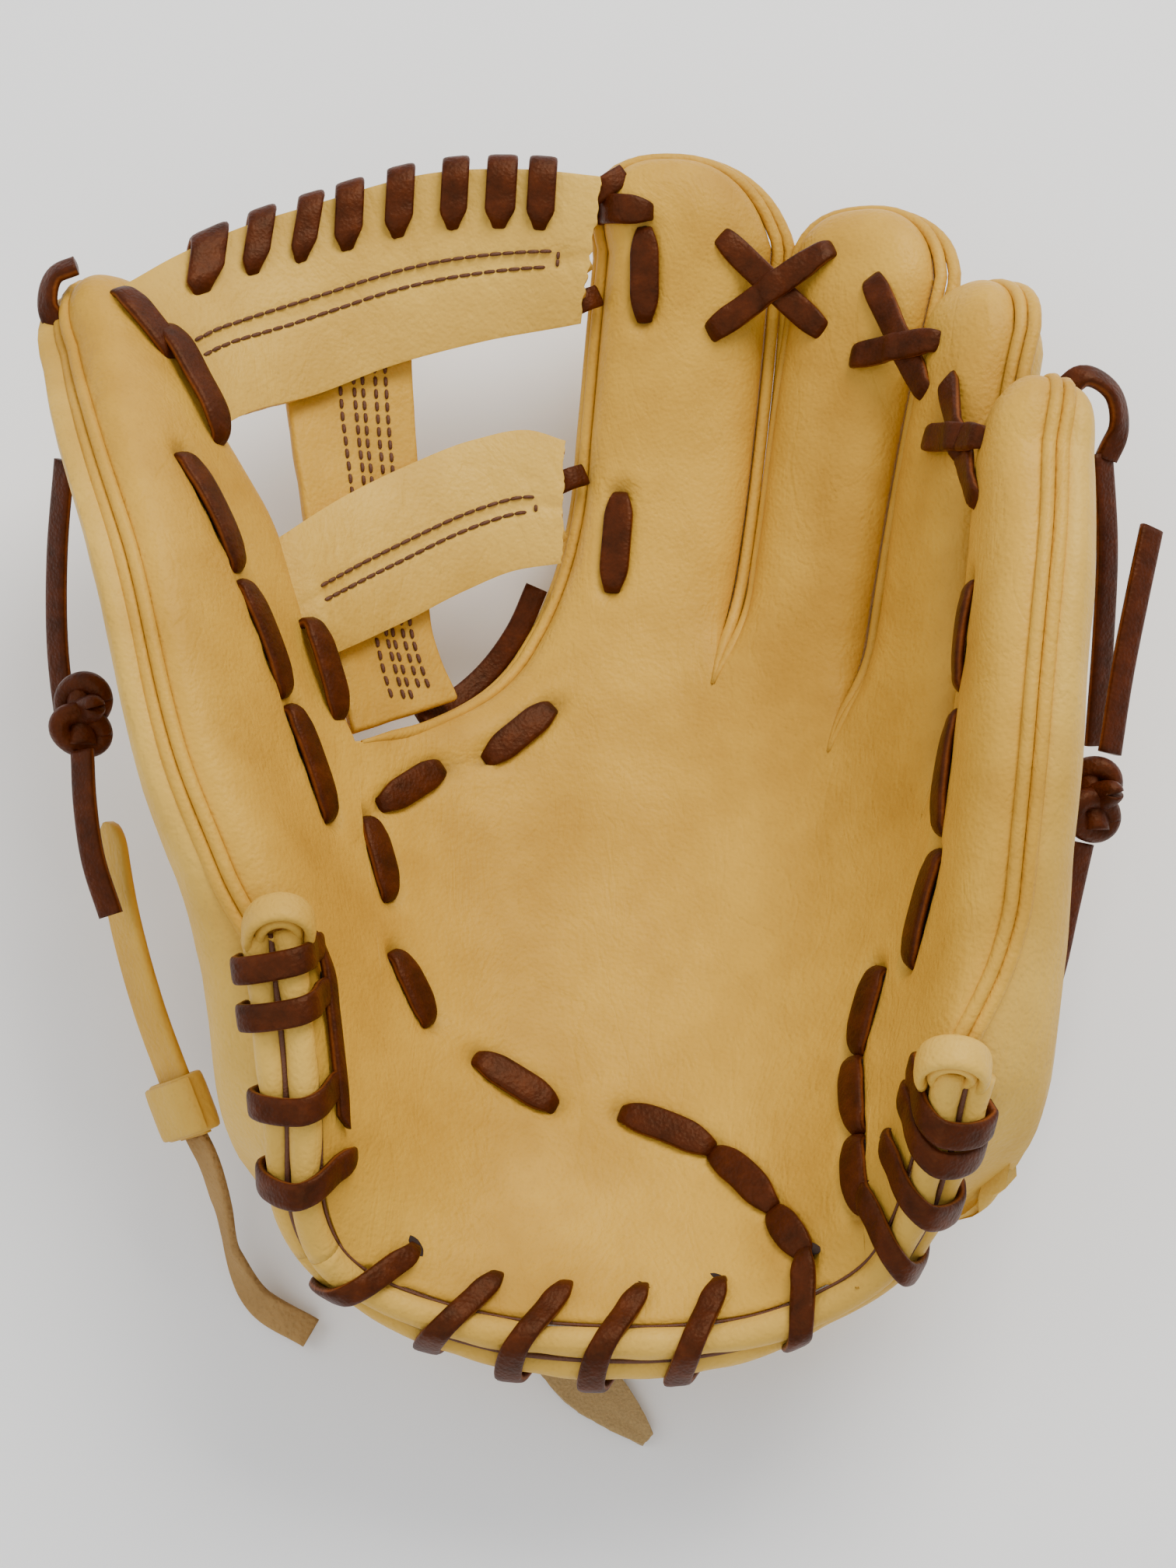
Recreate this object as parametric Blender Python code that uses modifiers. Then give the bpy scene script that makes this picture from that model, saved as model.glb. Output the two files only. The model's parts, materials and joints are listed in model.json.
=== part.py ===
"""Baseball fielding glove for the left hand, lying on its back with the palm up.

Frame: +X to the little finger, +Y to the fingertips, +Z up, origin under the middle.
The pocket is one curved surface.  A place on it is given by its girth (the length
along the leather from the middle line, across the glove), its station (the place
along the glove) and its height over the palm leather.  All of these are in
millimetres, and place() turns them into metres in the glove's frame.
"""
import math

import bmesh
import bpy
import numpy as np

NAME = "baseball_glove"
MM = 0.001
ORIGIN = (-4.12, 12.54, 0.0)    # where the frame's origin lies in the design, mm

# ---- the pocket: each line is a list of (station, value) ---------------------------
FLOOR = ((-120, 54), (-90, 42), (-60, 35), (-20, 30), (20, 29), (60, 32), (100, 41), (140, 55), (165, 66))
THUMB_GIRTH = ((-120, 47), (-90, 64), (-45, 88), (0, 112), (50, 122), (80, 122), (112, 121), (130, 123))
THUMB_SLOPE = ((-120, 8), (-90, 50), (-45, 72), (0, 72), (50, 64), (80, 51), (112, 33), (130, 25))
PINKY_GIRTH = ((-120, 43), (-90, 77), (-45, 112), (0, 129), (40, 134), (80, 126), (120, 116), (150, 107))
PINKY_SLOPE = ((-120, 8), (-90, 55), (-45, 80), (0, 87), (40, 85), (80, 74), (120, 52), (150, 27))
THUMB_BEND = 1.3                # how late the wall turns up, 1 = evenly
PINKY_BEND = 2.0

# ---- the pattern lines: girth at each station --------------------------------------
THUMB_FOLD = ((-120, -46.5), (13, -60))                 # between palm and thumb
PINKY_FOLD = ((-120, 58), (-13, 90))                    # between palm and little finger
INDEX_FORK = ((-120, 8), (34, 30))                      # between index and middle finger
RING_FORK = ((-120, 28), (13, 59))                      # between middle and ring finger
WEB_CURVE = ((13, -60), (16, -53), (20, -43), (26, -32), (33, -22.5),
              (41, -15.5), (50, -10.5), (62, -5.5), (80, -1), (100, 1), (140, 5), (165, 8))
WEB_EDGE = ((13, -60), (22, -64), (48, -70), (65, -77), (88, -92), (112, -103))
INDEX_RIGHT = ((34, 30), (50, 32.5), (68, 35.5), (107, 40.5), (140, 44))
MIDDLE_LEFT = ((34, 30), (50, 37), (68, 40), (107, 45.5), (128, 49))
MIDDLE_RIGHT = ((13, 59), (30, 62), (44, 64.5), (80, 72), (107, 78), (125, 82))
RING_LEFT = ((13, 59), (30, 66), (44, 69.5), (80, 77), (107, 84))
RING_RIGHT = ((-13, 90), (10, 94.5), (30, 98), (60, 103), (100, 108))
PINKY_LEFT = ((-13, 90), (10, 98.5), (30, 103), (60, 109), (80, 113))
THUMB_OUTER = ((-107, -53), (-97, -62), (-80, -72), (-57, -84), (-40, -92),
               (0, -114), (50, -124), (112, -125))
PINKY_OUTER = ((-106, 65), (-92, 78), (-80, 90), (-69, 100), (-60, 106),
               (-45, 113), (0, 130), (40, 136), (80, 130))
HEEL_EDGE = ((-91, -40), (-84, -57), (-72, -80), (-62, -97), (-54, -105), (-47, -109), (-36, -113),
             (-20, -117), (0, -119), (20, -119), (36, -117), (50, -112.5), (62, -106.5), (68.5, -101),
             (78, -92), (90, -80), (100, -69))     # girth and station along the open rim
HEEL = HEEL_EDGE[3:14]          # the part of it that closes the palm

# ---- thicknesses, mm ----------------------------------------------------------------
SEAM_RISE = 30.0                # length over which a seam drops away from its crotch
RIM_RISE = 45.0                 # the same for the outer seams, up from the heel
EDGE_DEPTH = 10.3               # depth of the front leather's edge, and of the back's,
BACK_EDGE_DEPTH = 13.7          # on the two sides of the seam cord
RIM_DROP = 6.5                  # the back's edge is this much lower under the heel's rolls
LEATHER = 2.4
BACK_LEATHER = 2.0
BACK_DEPTH = ((-120, 42), (-90, 38), (-60, 34), (-20, 31), (20, 31), (60, 31), (107, 27), (165, 24))
SIDE_DEPTH = ((-120, 38), (-90, 35), (-45, 29), (0, 26), (50, 25), (112, 23))
ROUNDNESS = 2.5                 # 2 is a true ellipse, more is boxier
LACE_WIDTH = 6.3
LACE_THICK = 1.8
GAP = 1.1                       # between a lace and the leather it lies on
WELT = 1.3                      # radius of the rolled seam cord

ROOT = bpy.context.scene.collection
for old in list(bpy.data.objects):
    bpy.data.objects.remove(old, do_unlink=True)


def line(points, x):
    """Smooth curve through (x, value) points, straight beyond the ends."""
    xs = np.array([p[0] for p in points], float)
    vs = np.array([p[1] for p in points], float)
    slopes = np.gradient(vs, xs)
    x = np.asarray(x, float)
    i = np.clip(np.searchsorted(xs, x) - 1, 0, len(xs) - 2)
    h = xs[i + 1] - xs[i]
    t = np.clip((x - xs[i]) / h, 0, 1)
    value = (2 * t**3 - 3 * t**2 + 1) * vs[i] + (t**3 - 2 * t**2 + t) * h * slopes[i]
    value += (3 * t**2 - 2 * t**3) * vs[i + 1] + (t**3 - t**2) * h * slopes[i + 1]
    before = slopes[0] * np.minimum(x - xs[0], 0)
    after = slopes[-1] * np.maximum(x - xs[-1], 0)
    return value + before + after


def ease(t):
    """Smooth step from 0 to 1."""
    t = np.clip(t, 0, 1)
    return t * t * (3 - 2 * t)


NODES, WEIGHTS = np.polynomial.legendre.leggauss(12)
NODES, WEIGHTS = (NODES + 1) / 2, WEIGHTS / 2


def pocket(g, y):
    """The palm face at girth g and station y, mm."""
    g, y = np.broadcast_arrays(np.asarray(g, float), np.asarray(y, float))
    thumb_side = g < 0
    rim = np.where(thumb_side, line(THUMB_GIRTH, y), line(PINKY_GIRTH, y))
    slope = np.radians(np.where(thumb_side, line(THUMB_SLOPE, y), line(PINKY_SLOPE, y)))
    bend = np.where(thumb_side, THUMB_BEND, PINKY_BEND)
    part = np.clip(np.abs(g)[..., None] * NODES / rim[..., None], 0, 1.12)
    angle = slope[..., None] * np.sin(np.pi / 2 * part) ** bend[..., None]
    x = g * (np.cos(angle) * WEIGHTS).sum(-1)
    z = line(FLOOR, y) + np.abs(g) * (np.sin(angle) * WEIGHTS).sum(-1)
    return np.stack([x, y, z], -1)


def place(g, y, n, flat=False):
    """A point n over the palm face, in metres in the glove's frame."""
    g, y, n = np.broadcast_arrays(*(np.asarray(v, float) for v in (g, y, n)))
    across = pocket(g + 0.5, y) - pocket(g - 0.5, y)
    along = pocket(g, y + 0.5) - pocket(g, y - 0.5)
    normal = np.cross(across, along)
    normal /= np.linalg.norm(normal, axis=-1, keepdims=True)
    point = pocket(g, y) + normal * n[..., None]
    if flat:
        point[..., 2] = np.maximum(point[..., 2], 0)
    return (point - np.array(ORIGIN)) * MM


def superellipse(angle):
    """Cosine and sine of a boxy circle."""
    power = 2 / ROUNDNESS
    return np.abs(np.cos(angle)) ** power, np.sign(np.sin(angle)) * np.abs(np.sin(angle)) ** power


# ---- materials and scene helpers -----------------------------------------------------
def material(name, color, roughness, metallic=0.0):
    mat = bpy.data.materials.new(name)
    mat.use_nodes = True
    shader = mat.node_tree.nodes["Principled BSDF"]
    shader.inputs["Base Color"].default_value = (*color, 1)
    shader.inputs["Roughness"].default_value = roughness
    shader.inputs["Metallic"].default_value = metallic
    return mat


LEATHER_COLOR = (0.74, 0.53, 0.29)
LACE_COLOR = (0.13, 0.035, 0.018)
FELT_COLOR = (0.75, 0.72, 0.66)
LINING_COLOR = (0.80, 0.66, 0.45)
PLASTIC_COLOR = (0.02, 0.02, 0.02)


def new_collection(name, hidden=False):
    collection = bpy.data.collections.new(name)
    ROOT.children.link(collection)
    collection.hide_render = hidden
    return collection


def add(name, mesh, color, roughness=0.55, metallic=0.0):
    """Put a mesh in the glove's collection under its own name and material."""
    obj = bpy.data.objects.new(name, mesh)
    obj.data.name = name
    obj.data.materials.clear()
    obj.data.materials.append(material(name + "_material", color, roughness, metallic))
    parts.objects.link(obj)
    return obj


def grid_mesh(name, points, flip=False):
    """A grid of points (rows, columns, 3) as an open surface."""
    rows, columns = points.shape[:2]
    bm = bmesh.new()
    bmesh.ops.create_grid(bm, x_segments=rows - 1, y_segments=columns - 1, size=1)
    bm.verts.ensure_lookup_table()
    for vert in bm.verts:
        i = round((vert.co.x + 1) / 2 * (rows - 1))
        j = round((vert.co.y + 1) / 2 * (columns - 1))
        vert.co = points[i, j]
    if flip:
        bmesh.ops.reverse_faces(bm, faces=bm.faces)
    mesh = bpy.data.meshes.new(name)
    bm.to_mesh(mesh)
    bm.free()
    return mesh


def thicken(obj, thick, offset=-1.0):
    solid = obj.modifiers.new("Leather", "SOLIDIFY")
    solid.thickness = thick * MM
    solid.offset = offset
    return obj


def shell(name, points, thick, color, flip=False, offset=-1.0, roughness=0.55):
    return thicken(add(name, grid_mesh(name, points, flip), color, roughness), thick, offset)


def tube(name, points, radius, color, sides=2, roughness=0.5, tip=1.0):
    """A round bar along points given in metres; sides is the curve's bevel resolution."""
    curve = bpy.data.curves.new(name, "CURVE")
    curve.dimensions = "3D"
    curve.bevel_depth = radius * MM
    curve.bevel_resolution = sides
    curve.use_fill_caps = True
    spline = curve.splines.new("POLY")
    spline.points.add(len(points) - 1)
    for point, place_at in zip(spline.points, points):
        point.co = (*place_at, 1)
    spline.points[0].radius = tip
    spline.points[-1].radius = tip
    obj = bpy.data.objects.new(name, curve)
    curve.materials.append(material(name + "_material", color, roughness))
    parts.objects.link(obj)
    return obj


def smooth_path(points, count):
    """Points spaced evenly along a smooth curve through the given ones."""
    points = np.array(points, float)
    gaps = np.linalg.norm(np.diff(points, axis=0), axis=1)
    reach = np.concatenate([[0], np.cumsum(gaps)])
    fine = np.linspace(0, reach[-1], 40 * len(points))
    dense = np.stack([line(tuple(zip(reach, points[:, k])), fine) for k in range(3)], -1)
    gaps = np.linalg.norm(np.diff(dense, axis=0), axis=1)
    reach = np.concatenate([[0], np.cumsum(gaps)])
    even = np.linspace(0, reach[-1], count)
    return np.stack([np.interp(even, reach, dense[:, k]) for k in range(3)], -1)


def ribbon(name, path, sides, width, thick, color, roughness=0.45):
    """A flat lace or strap: a ribbon along a path, thickened both ways."""
    path, sides = np.array(path, float), np.array(sides, float)
    sides /= np.linalg.norm(sides, axis=1, keepdims=True)
    half = sides * (width / 2 * MM)
    obj = shell(name, np.stack([path - half, path + half], 1), thick, color, offset=0, roughness=roughness)
    obj.modifiers["Leather"].use_even_offset = True
    return obj


def side_vectors(route, headings, height=lambda g, y: 0):
    """The way across a lace at each point, from the way (dg, dy) that it runs there."""
    def face(g, y):
        return place(g, y, height(g, y))
    sides = []
    for (g, y, _), (dg, dy) in zip(route, headings):
        scale = 2 / math.hypot(dg, dy)
        side = face(g - dy * scale, y + dg * scale) - face(g + dy * scale, y - dg * scale)
        side /= np.linalg.norm(side)
        sides.append(-side if sides and side @ sides[-1] < 0 else side)
    return np.array(sides)


DIVES = {}                      # for each lace, the holes it needs: (girth, station, side vector)


def lace(name, route, sides):
    """A lace along a route of (girth, station, height over the palm face)."""
    route = np.array(route, float)
    path = place(*route.T)
    DIVES[name] = [(*route[i, :2], max(route[i:i + 2, 2]) - OVER, sides[i] + sides[i + 1])
                   for i in range(len(route) - 1) if np.allclose(route[i, :2], route[i + 1, :2])]
    return ribbon(name, path, sides, LACE_WIDTH, LACE_THICK, LACE_COLOR)


OVER = GAP + LACE_THICK / 2                 # middle of a lace that lies on the leather
UNDER = -(LEATHER + GAP + LACE_THICK / 2)   # and of one that runs behind it


def heading(a, b):
    return b[0] - a[0], b[1] - a[1]


def stitches(runs):
    """A route that dives through the leather between the visible runs, and its headings."""
    route, headings = [], []
    for run in runs:
        if route:
            start, ways = route[-1], heading(route[-1], run[0])
            steps = max(1, round(math.hypot(*ways) / 9))
            for k in range(1, steps):
                route.append((start[0] + ways[0] * k / steps, start[1] + ways[1] * k / steps, UNDER - 0.3))
                headings.append(ways)
        ways = [heading(a, b) for a, b in zip(run[:-1], run[1:])]
        over = [(g, y, OVER + 0.5) for g, y in run]
        at = [ways[0]] + [(a[0] + b[0], a[1] + b[1]) for a, b in zip(ways[:-1], ways[1:])] + [ways[-1]]
        if len(run) == 2:
            over.insert(1, ((run[0][0] + run[1][0]) / 2, (run[0][1] + run[1][1]) / 2, OVER + 0.8))
            at = ways * 3
        route += [(*run[0], UNDER)] + over + [(*run[-1], UNDER)]
        headings += [at[0]] + at + [at[-1]]
    return route, headings


def slot_box(bm, g, y, face, side, depth=8.0):
    """A box through the leather, as wide as a lace whose width runs along side."""
    centre = place(g, y, face - LEATHER / 2)
    normal = place(g, y, 1) - place(g, y, 0)
    normal /= np.linalg.norm(normal)
    across = side - normal * (side @ normal)
    across /= np.linalg.norm(across)
    ahead = np.cross(across, normal)
    made = bmesh.ops.create_cube(bm, size=1)
    for vert in made["verts"]:
        size = np.array(vert.co) * (LACE_THICK + 2.2, LACE_WIDTH + 1.8, depth) * MM
        vert.co = centre + ahead * size[0] + across * size[1] + normal * size[2]


def cut_slots(obj, laces):
    """Holes in a leather piece for every dive of the named laces."""
    bm = bmesh.new()
    for name in laces:
        for dive in DIVES[name]:
            slot_box(bm, *dive)
    cut_with(obj, bm)


def cut_with(obj, bm):
    """Cut a closed shape away from an object."""
    mesh = bpy.data.meshes.new(obj.name + "_slots")
    bm.to_mesh(mesh)
    bm.free()
    cutter = bpy.data.objects.new(obj.name + "_slots", mesh)
    cutters.objects.link(cutter)
    cutter.hide_render = True
    cutter.display_type = "WIRE"
    cut = obj.modifiers.new("Slots", "BOOLEAN")
    cut.operation = "DIFFERENCE"
    cut.solver = "EXACT"
    cut.use_self = True
    cut.object = cutter


# ---- finger stalls --------------------------------------------------------------------
STATIONS = (-118, -112, -105, -97, -88, -78, -68, -58, -48, -38, -28, -20, -13, -6, 1, 7, 13,
            18, 23, 28.5, 34, 40, 46, 53, 62, 72, 83, 95, 107, 118, 128, 138)
TIP_TURNS = (25, 48, 66, 80)


def forked(shared, free, shift=0.0):
    """A pattern line that follows the shared line up to the fork and its own after."""
    fork = shared[-1][0]
    return lambda y: np.where(np.asarray(y) <= fork, line(shared, y), line(free, y)) + shift


class Stall:
    """A finger stall, or the strip of palm that leads up to it."""

    def __init__(self, left, right, forks, shoulder, tip, tip_girth, outer=None, bulge=0.0):
        self.left, self.right, self.bulge = left, right, bulge
        self.forks, self.outer = forks, outer       # outer: 0 or 1, the side that is the glove's rim
        self.shoulder, self.tip, self.tip_girth = shoulder, tip, tip_girth

    def rows(self, first):
        """Pairs of (station, tip turn) from the heel to the fingertip."""
        rows = [(y, 0) for y in STATIONS if first <= y < self.shoulder - 3]
        return rows + [(self.shoulder, turn) for turn in (0, *TIP_TURNS)]

    def seam(self, side, y):
        """0 where the leather runs on into its neighbour, 1 where the seam is full."""
        return ease((y - self.forks[side]) / (RIM_RISE if side == self.outer else SEAM_RISE))

    def at(self, share, y, turn, inset=0.0):
        """Girth and station of a share (-1 to 1) across the stall."""
        close, reach = superellipse(math.radians(turn))
        left, right = float(self.left(y)) + inset, float(self.right(y)) - inset
        centre = (left + right) / 2
        centre += (self.tip_girth - centre) * reach if turn else 0
        return centre + (right - left) / 2 * share * close, y + (self.tip - y) * (reach if turn else 0)

    def height(self, g, y):
        """How high the front face stands at a girth and station."""
        base = min(y, self.shoulder)
        left, right = float(self.left(base)), float(self.right(base))
        reach = np.clip((y - self.shoulder) / (self.tip - self.shoulder), 0, 0.98)
        close = (1 - reach ** ROUNDNESS) ** (1 / ROUNDNESS)
        centre = (left + right) / 2
        centre += (self.tip_girth - centre) * reach
        share = np.clip(2 * (g - centre) / (right - left) / close, -1, 1)
        cosines, shares = superellipse(np.radians(np.linspace(-90, 90, COLUMNS)))
        cosine = np.interp(share, shares, cosines)
        return -EDGE_DEPTH * self.seam(0 if share < 0 else 1, base) * (1 - cosine * close)

    def face(self, rows, columns, back=False, inset=0.0):
        """Grid of (girth, station, height) of the front or the back of the stall."""
        grid = []
        for y, turn in rows:
            close = superellipse(math.radians(turn))[0]
            row = []
            for angle in np.linspace(-90, 90, columns):
                cosine, share = superellipse(math.radians(angle))
                g, station = self.at(share, y, turn, inset)
                side = 0 if share < 0 else 1
                full = self.seam(side, y)
                if back:
                    deep = back_depth(g, station)
                    border = deep + (BACK_EDGE_DEPTH - deep) * full
                    if side == self.outer:
                        border = BACK_EDGE_DEPTH + RIM_DROP * (1 - full)
                        fade = 0.25 + 0.75 * ease((station + 75) / 80)
                        g += self.bulge * fade * (2 * side - 1) * 4 * cosine * (1 - cosine) * close
                    n = -(border + (deep - border) * cosine * close)
                else:
                    n = -EDGE_DEPTH * full * (1 - cosine * close)
                row.append((g, station + (heel_shift(g, station) if self.outer is None else 0), n))
            grid.append(row)
        return np.array(grid)


def heel_shift(g, y):
    """Bends the lowest rows to the curve of the heel."""
    share = np.clip((-78 - y) / 40, 0, 1) ** 1.5
    return share * (line(HEEL, g) - STATIONS[0]) if -60 < g < 62 else 0 * share


def back_depth(g, y):
    """How far the back leather lies behind the palm face."""
    rim = line(THUMB_GIRTH, y) if g < 0 else line(PINKY_GIRTH, y)
    share = ease(abs(g) / rim)
    return line(BACK_DEPTH, y) * (1 - share) + line(SIDE_DEPTH, y) * share


def constant(value):
    return lambda y: value + 0 * np.asarray(y, float)


def pattern(points, shift=0.0):
    return lambda y: line(points, y) + shift


INDEX = Stall(forked(THUMB_FOLD, WEB_CURVE, 0.2), forked(INDEX_FORK, INDEX_RIGHT), (13, 34), 141, 162, 19.5)
MIDDLE = Stall(forked(INDEX_FORK, MIDDLE_LEFT), forked(RING_FORK, MIDDLE_RIGHT), (34, 13), 127, 148, 65)
RING = Stall(forked(RING_FORK, RING_LEFT), forked(PINKY_FOLD, RING_RIGHT, -0.2), (13, -13), 103, 121, 94)
THUMB = Stall(pattern(THUMB_OUTER), forked(THUMB_FOLD, WEB_EDGE, -0.2), (-70, 13), 104, 124, -116,
              outer=0, bulge=6)
PINKY = Stall(forked(PINKY_FOLD, PINKY_LEFT, 0.2), pattern(PINKY_OUTER), (-13, -80), 64, 83, 124,
              outer=1, bulge=3)


COLUMNS = 7
BACK_COLUMNS = 6


def surface(grid, flat=False):
    return place(grid[..., 0], grid[..., 1], grid[..., 2], flat)


def stall_back(name, stall, first):
    """The back leather of a stall; it lies flat where it rests on the ground."""
    rows = stall.rows(first)[::-1][::2][::-1]
    grid = stall.face(rows, BACK_COLUMNS, back=True, inset=0.2)
    return shell(name, surface(grid, flat=True), BACK_LEATHER, LEATHER_COLOR)


def stall_welt(name, stall, start, end):
    """The rolled cord in a stall's seam: up the left side, over the tip, down the right."""
    rows = stall.rows(STATIONS[0])
    left = [row for row in rows if row[0] >= start]
    right = [row for row in rows if row[0] >= end][::-1]
    route = []
    for share, side in ((-1, left), (1, right)):
        for y, turn in side:
            g, station = stall.at(share, y, turn, -0.4)
            route.append((g, station, -EDGE_DEPTH * stall.seam(0 if share < 0 else 1, y) - 1.7))
    return tube(name, place(*np.array(route).T), WELT, LEATHER_COLOR, sides=0)


def sheet(name, left, right, stations, top, thick, color, columns=6):
    """A flat layer between two pattern lines, its upper face at the height top."""
    share = np.linspace(0, 1, columns)
    rows = [[(left(y) + (right(y) - left(y)) * t, y, top(y)) for t in share] for y in stations]
    return shell(name, surface(np.array(rows, float)), thick, color, flip=True)


def build_palm():
    """The front leather of the palm and three fingers, one piece."""
    bm = bmesh.new()
    for stall in (INDEX, MIDDLE, RING):
        mesh = grid_mesh("strip", surface(stall.face(stall.rows(STATIONS[0]), COLUMNS)), flip=True)
        bm.from_mesh(mesh)
        bpy.data.meshes.remove(mesh)
    bmesh.ops.remove_doubles(bm, verts=bm.verts, dist=0.01 * MM)
    mesh = bpy.data.meshes.new("palm_shell")
    bm.to_mesh(mesh)
    bm.free()
    palm = thicken(add("palm_shell", mesh, LEATHER_COLOR), LEATHER)
    cut_slots(palm, ("palm_lace", "palm_chain_lace", "web_index_lace", "heel_lace_centre",
                     "index_middle_lace", "middle_ring_lace", "ring_pinky_lace"))
    return palm


# ---- laces that are woven through the leather: each run shows between two holes -------
PALM_RUNS = (
    ((-51.5, 0), (-36.5, 11)), ((-23, 15), (-9, 25)),
    ((-53.5, -7), (-49, -23)), ((-48, -37), (-39, -51.5)), ((-25.5, -60), (-8, -69)),
    ((8, -71), (18.5, -75), (27.3, -79.3)), ((29.3, -81.8), (40.5, -93)), ((43, -95.5), (47, -101)),
)
CHAIN_RUNS = (((72.5, -42.5), (66.5, -58)), ((66, -62), (65, -77.5)), ((64.5, -81.5), (61, -95)))
INDEX_RUNS = (((14, 145), (14, 125)), ((9, 83), (7, 60)))
THUMB_RUNS = (((-108, 71), (-98, 47)), ((-96, 42.5), (-84, 20)), ((-82, 15.5), (-71, -5)))
PINKY_RUNS = (((116, 36), (110, 14)), ((108.5, 9), (101, -16)), ((99.5, -21), (88, -43)))
TOP_WRAPS = (-96, -83, -71, -59.5, -47, -33.5, -22, -12)     # girths of the wraps on the web


def woven(name, runs, stall):
    """One lace through all of the given runs, following the stall's face."""
    route, headings = stitches(runs)
    route = [(g, y, n + stall.height(g, y)) for g, y, n in route]
    return lace(name, route, side_vectors(route, headings, stall.height))


def edge_lines():
    """The open rim as evenly spaced points, and the way out from it at each."""
    path = smooth_path([(g, y, 0) for g, y in HEEL_EDGE], 241)[:, :2]
    ahead = np.gradient(path, axis=0)
    out = np.stack([ahead[:, 1], -ahead[:, 0]], 1)
    out /= np.linalg.norm(out, axis=1, keepdims=True)
    reach = np.concatenate([[0], np.cumsum(np.linalg.norm(np.diff(path, axis=0), axis=1))])
    return path, out, reach


EDGE_PATH, EDGE_OUT, EDGE_REACH = edge_lines()


def rim_point(reach, outward):
    """Girth and station at a distance along the open rim, and outward from it."""
    g, y = (np.interp(reach, EDGE_REACH, EDGE_PATH[:, k]) for k in (0, 1))
    out = [float(np.interp(reach, EDGE_REACH, EDGE_OUT[:, k])) for k in (0, 1)]
    return float(g) + out[0] * outward, float(y) + out[1] * outward


def rim_reach(g):
    return float(np.interp(g, EDGE_PATH[:, 0], EDGE_REACH))


WRAP_SECTION = ((-8, OVER + 0.8), (-3, 2.8), (1.3, 3.6), (3.8, 4.1), (8.3, 2.8), (11.2, -1.5), (12.6, -7.5),
                (11.2, -13.2), (3, -13.6))        # outward from the rim and height
THUMB_WRAPS = (-88.5, -84.5, -75)             # girths where the wraps cross the rim
CENTRE_WRAPS = (-46, -26, -10, 7, 25, 46)
PINKY_WRAPS = (76, 84, 92, 96)
ROLL = 3.0
UNDER_ROLLS = -13.6
ROLL_SPLITS = (rim_reach(-56.0), rim_reach(65.0))


def wrap_hole(g, slant):
    start = rim_reach(g)
    return rim_point(start + slant * WRAP_SECTION[0][0], WRAP_SECTION[0][0])


def rim_lace(name, crossings, slant):
    """A lace wound round both rolls of the open rim, through a hole at each turn."""
    route, sides = [], []
    for g in crossings:
        start = rim_reach(g)
        route.append((*wrap_hole(g, slant), UNDER_ROLLS))
        for outward, height in WRAP_SECTION:
            route.append((*rim_point(start + slant * outward, outward), height))
        along = place(*rim_point(start + 2, 0), 0) - place(*rim_point(start - 2, 0), 0)
        sides += [along] * (len(WRAP_SECTION) + 1)
    route.append((*rim_point(rim_reach(crossings[-1]) - 3, -2), UNDER_ROLLS))
    return lace(name, route, np.array(sides + sides[-1:]) / MM)


def rim_roll(name, first, last, outward, height, radius, count):
    """One padded roll along a stretch of the open rim."""
    reaches = np.linspace(first, last, count)
    route = [(*rim_point(reach, outward), height) for reach in reaches]
    return tube(name, place(*np.array(route).T), radius, LEATHER_COLOR, sides=1)


def build_rim():
    stretches = (("thumb", 2.0, ROLL_SPLITS[0] - 0.7, 9),
                 ("centre", ROLL_SPLITS[0] + 0.7, ROLL_SPLITS[1] - 0.7, 15),
                 ("pinky", ROLL_SPLITS[1] + 0.7, EDGE_REACH[-1] - 2.0, 9))
    for side, first, last, count in stretches:
        rim_roll("heel_roll_upper_" + side, first, last, 4.0, -1.2, ROLL, count)
        rim_roll("heel_roll_lower_" + side, first, last, 5.3, -7.8, ROLL, count)


def build_stalls():
    stall_back("index_back", INDEX, -13)
    stall_back("middle_back", MIDDLE, -13)
    stall_back("ring_back", RING, -13)
    stall_back("thumb_back", THUMB, -105)
    stall_back("pinky_back", PINKY, -105)
    stall_welt("index_welt", INDEX, 23, 53)
    stall_welt("middle_welt", MIDDLE, 53, 34)
    stall_welt("ring_welt", RING, 34, 13)
    stall_welt("thumb_welt", THUMB, -28, 34)
    stall_welt("pinky_welt", PINKY, 13, -38)
    for name, stall, laces in (
            ("thumb_front", THUMB, ("thumb_stall_lace", "heel_lace_thumb")),
            ("pinky_front", PINKY, ("pinky_stall_lace", "heel_lace_pinky", "ring_pinky_lace"))):
        grid = stall.face(stall.rows(-105), COLUMNS, inset=0.2)
        cut_slots(shell(name, surface(grid), LEATHER, LEATHER_COLOR, flip=True), laces)


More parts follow.
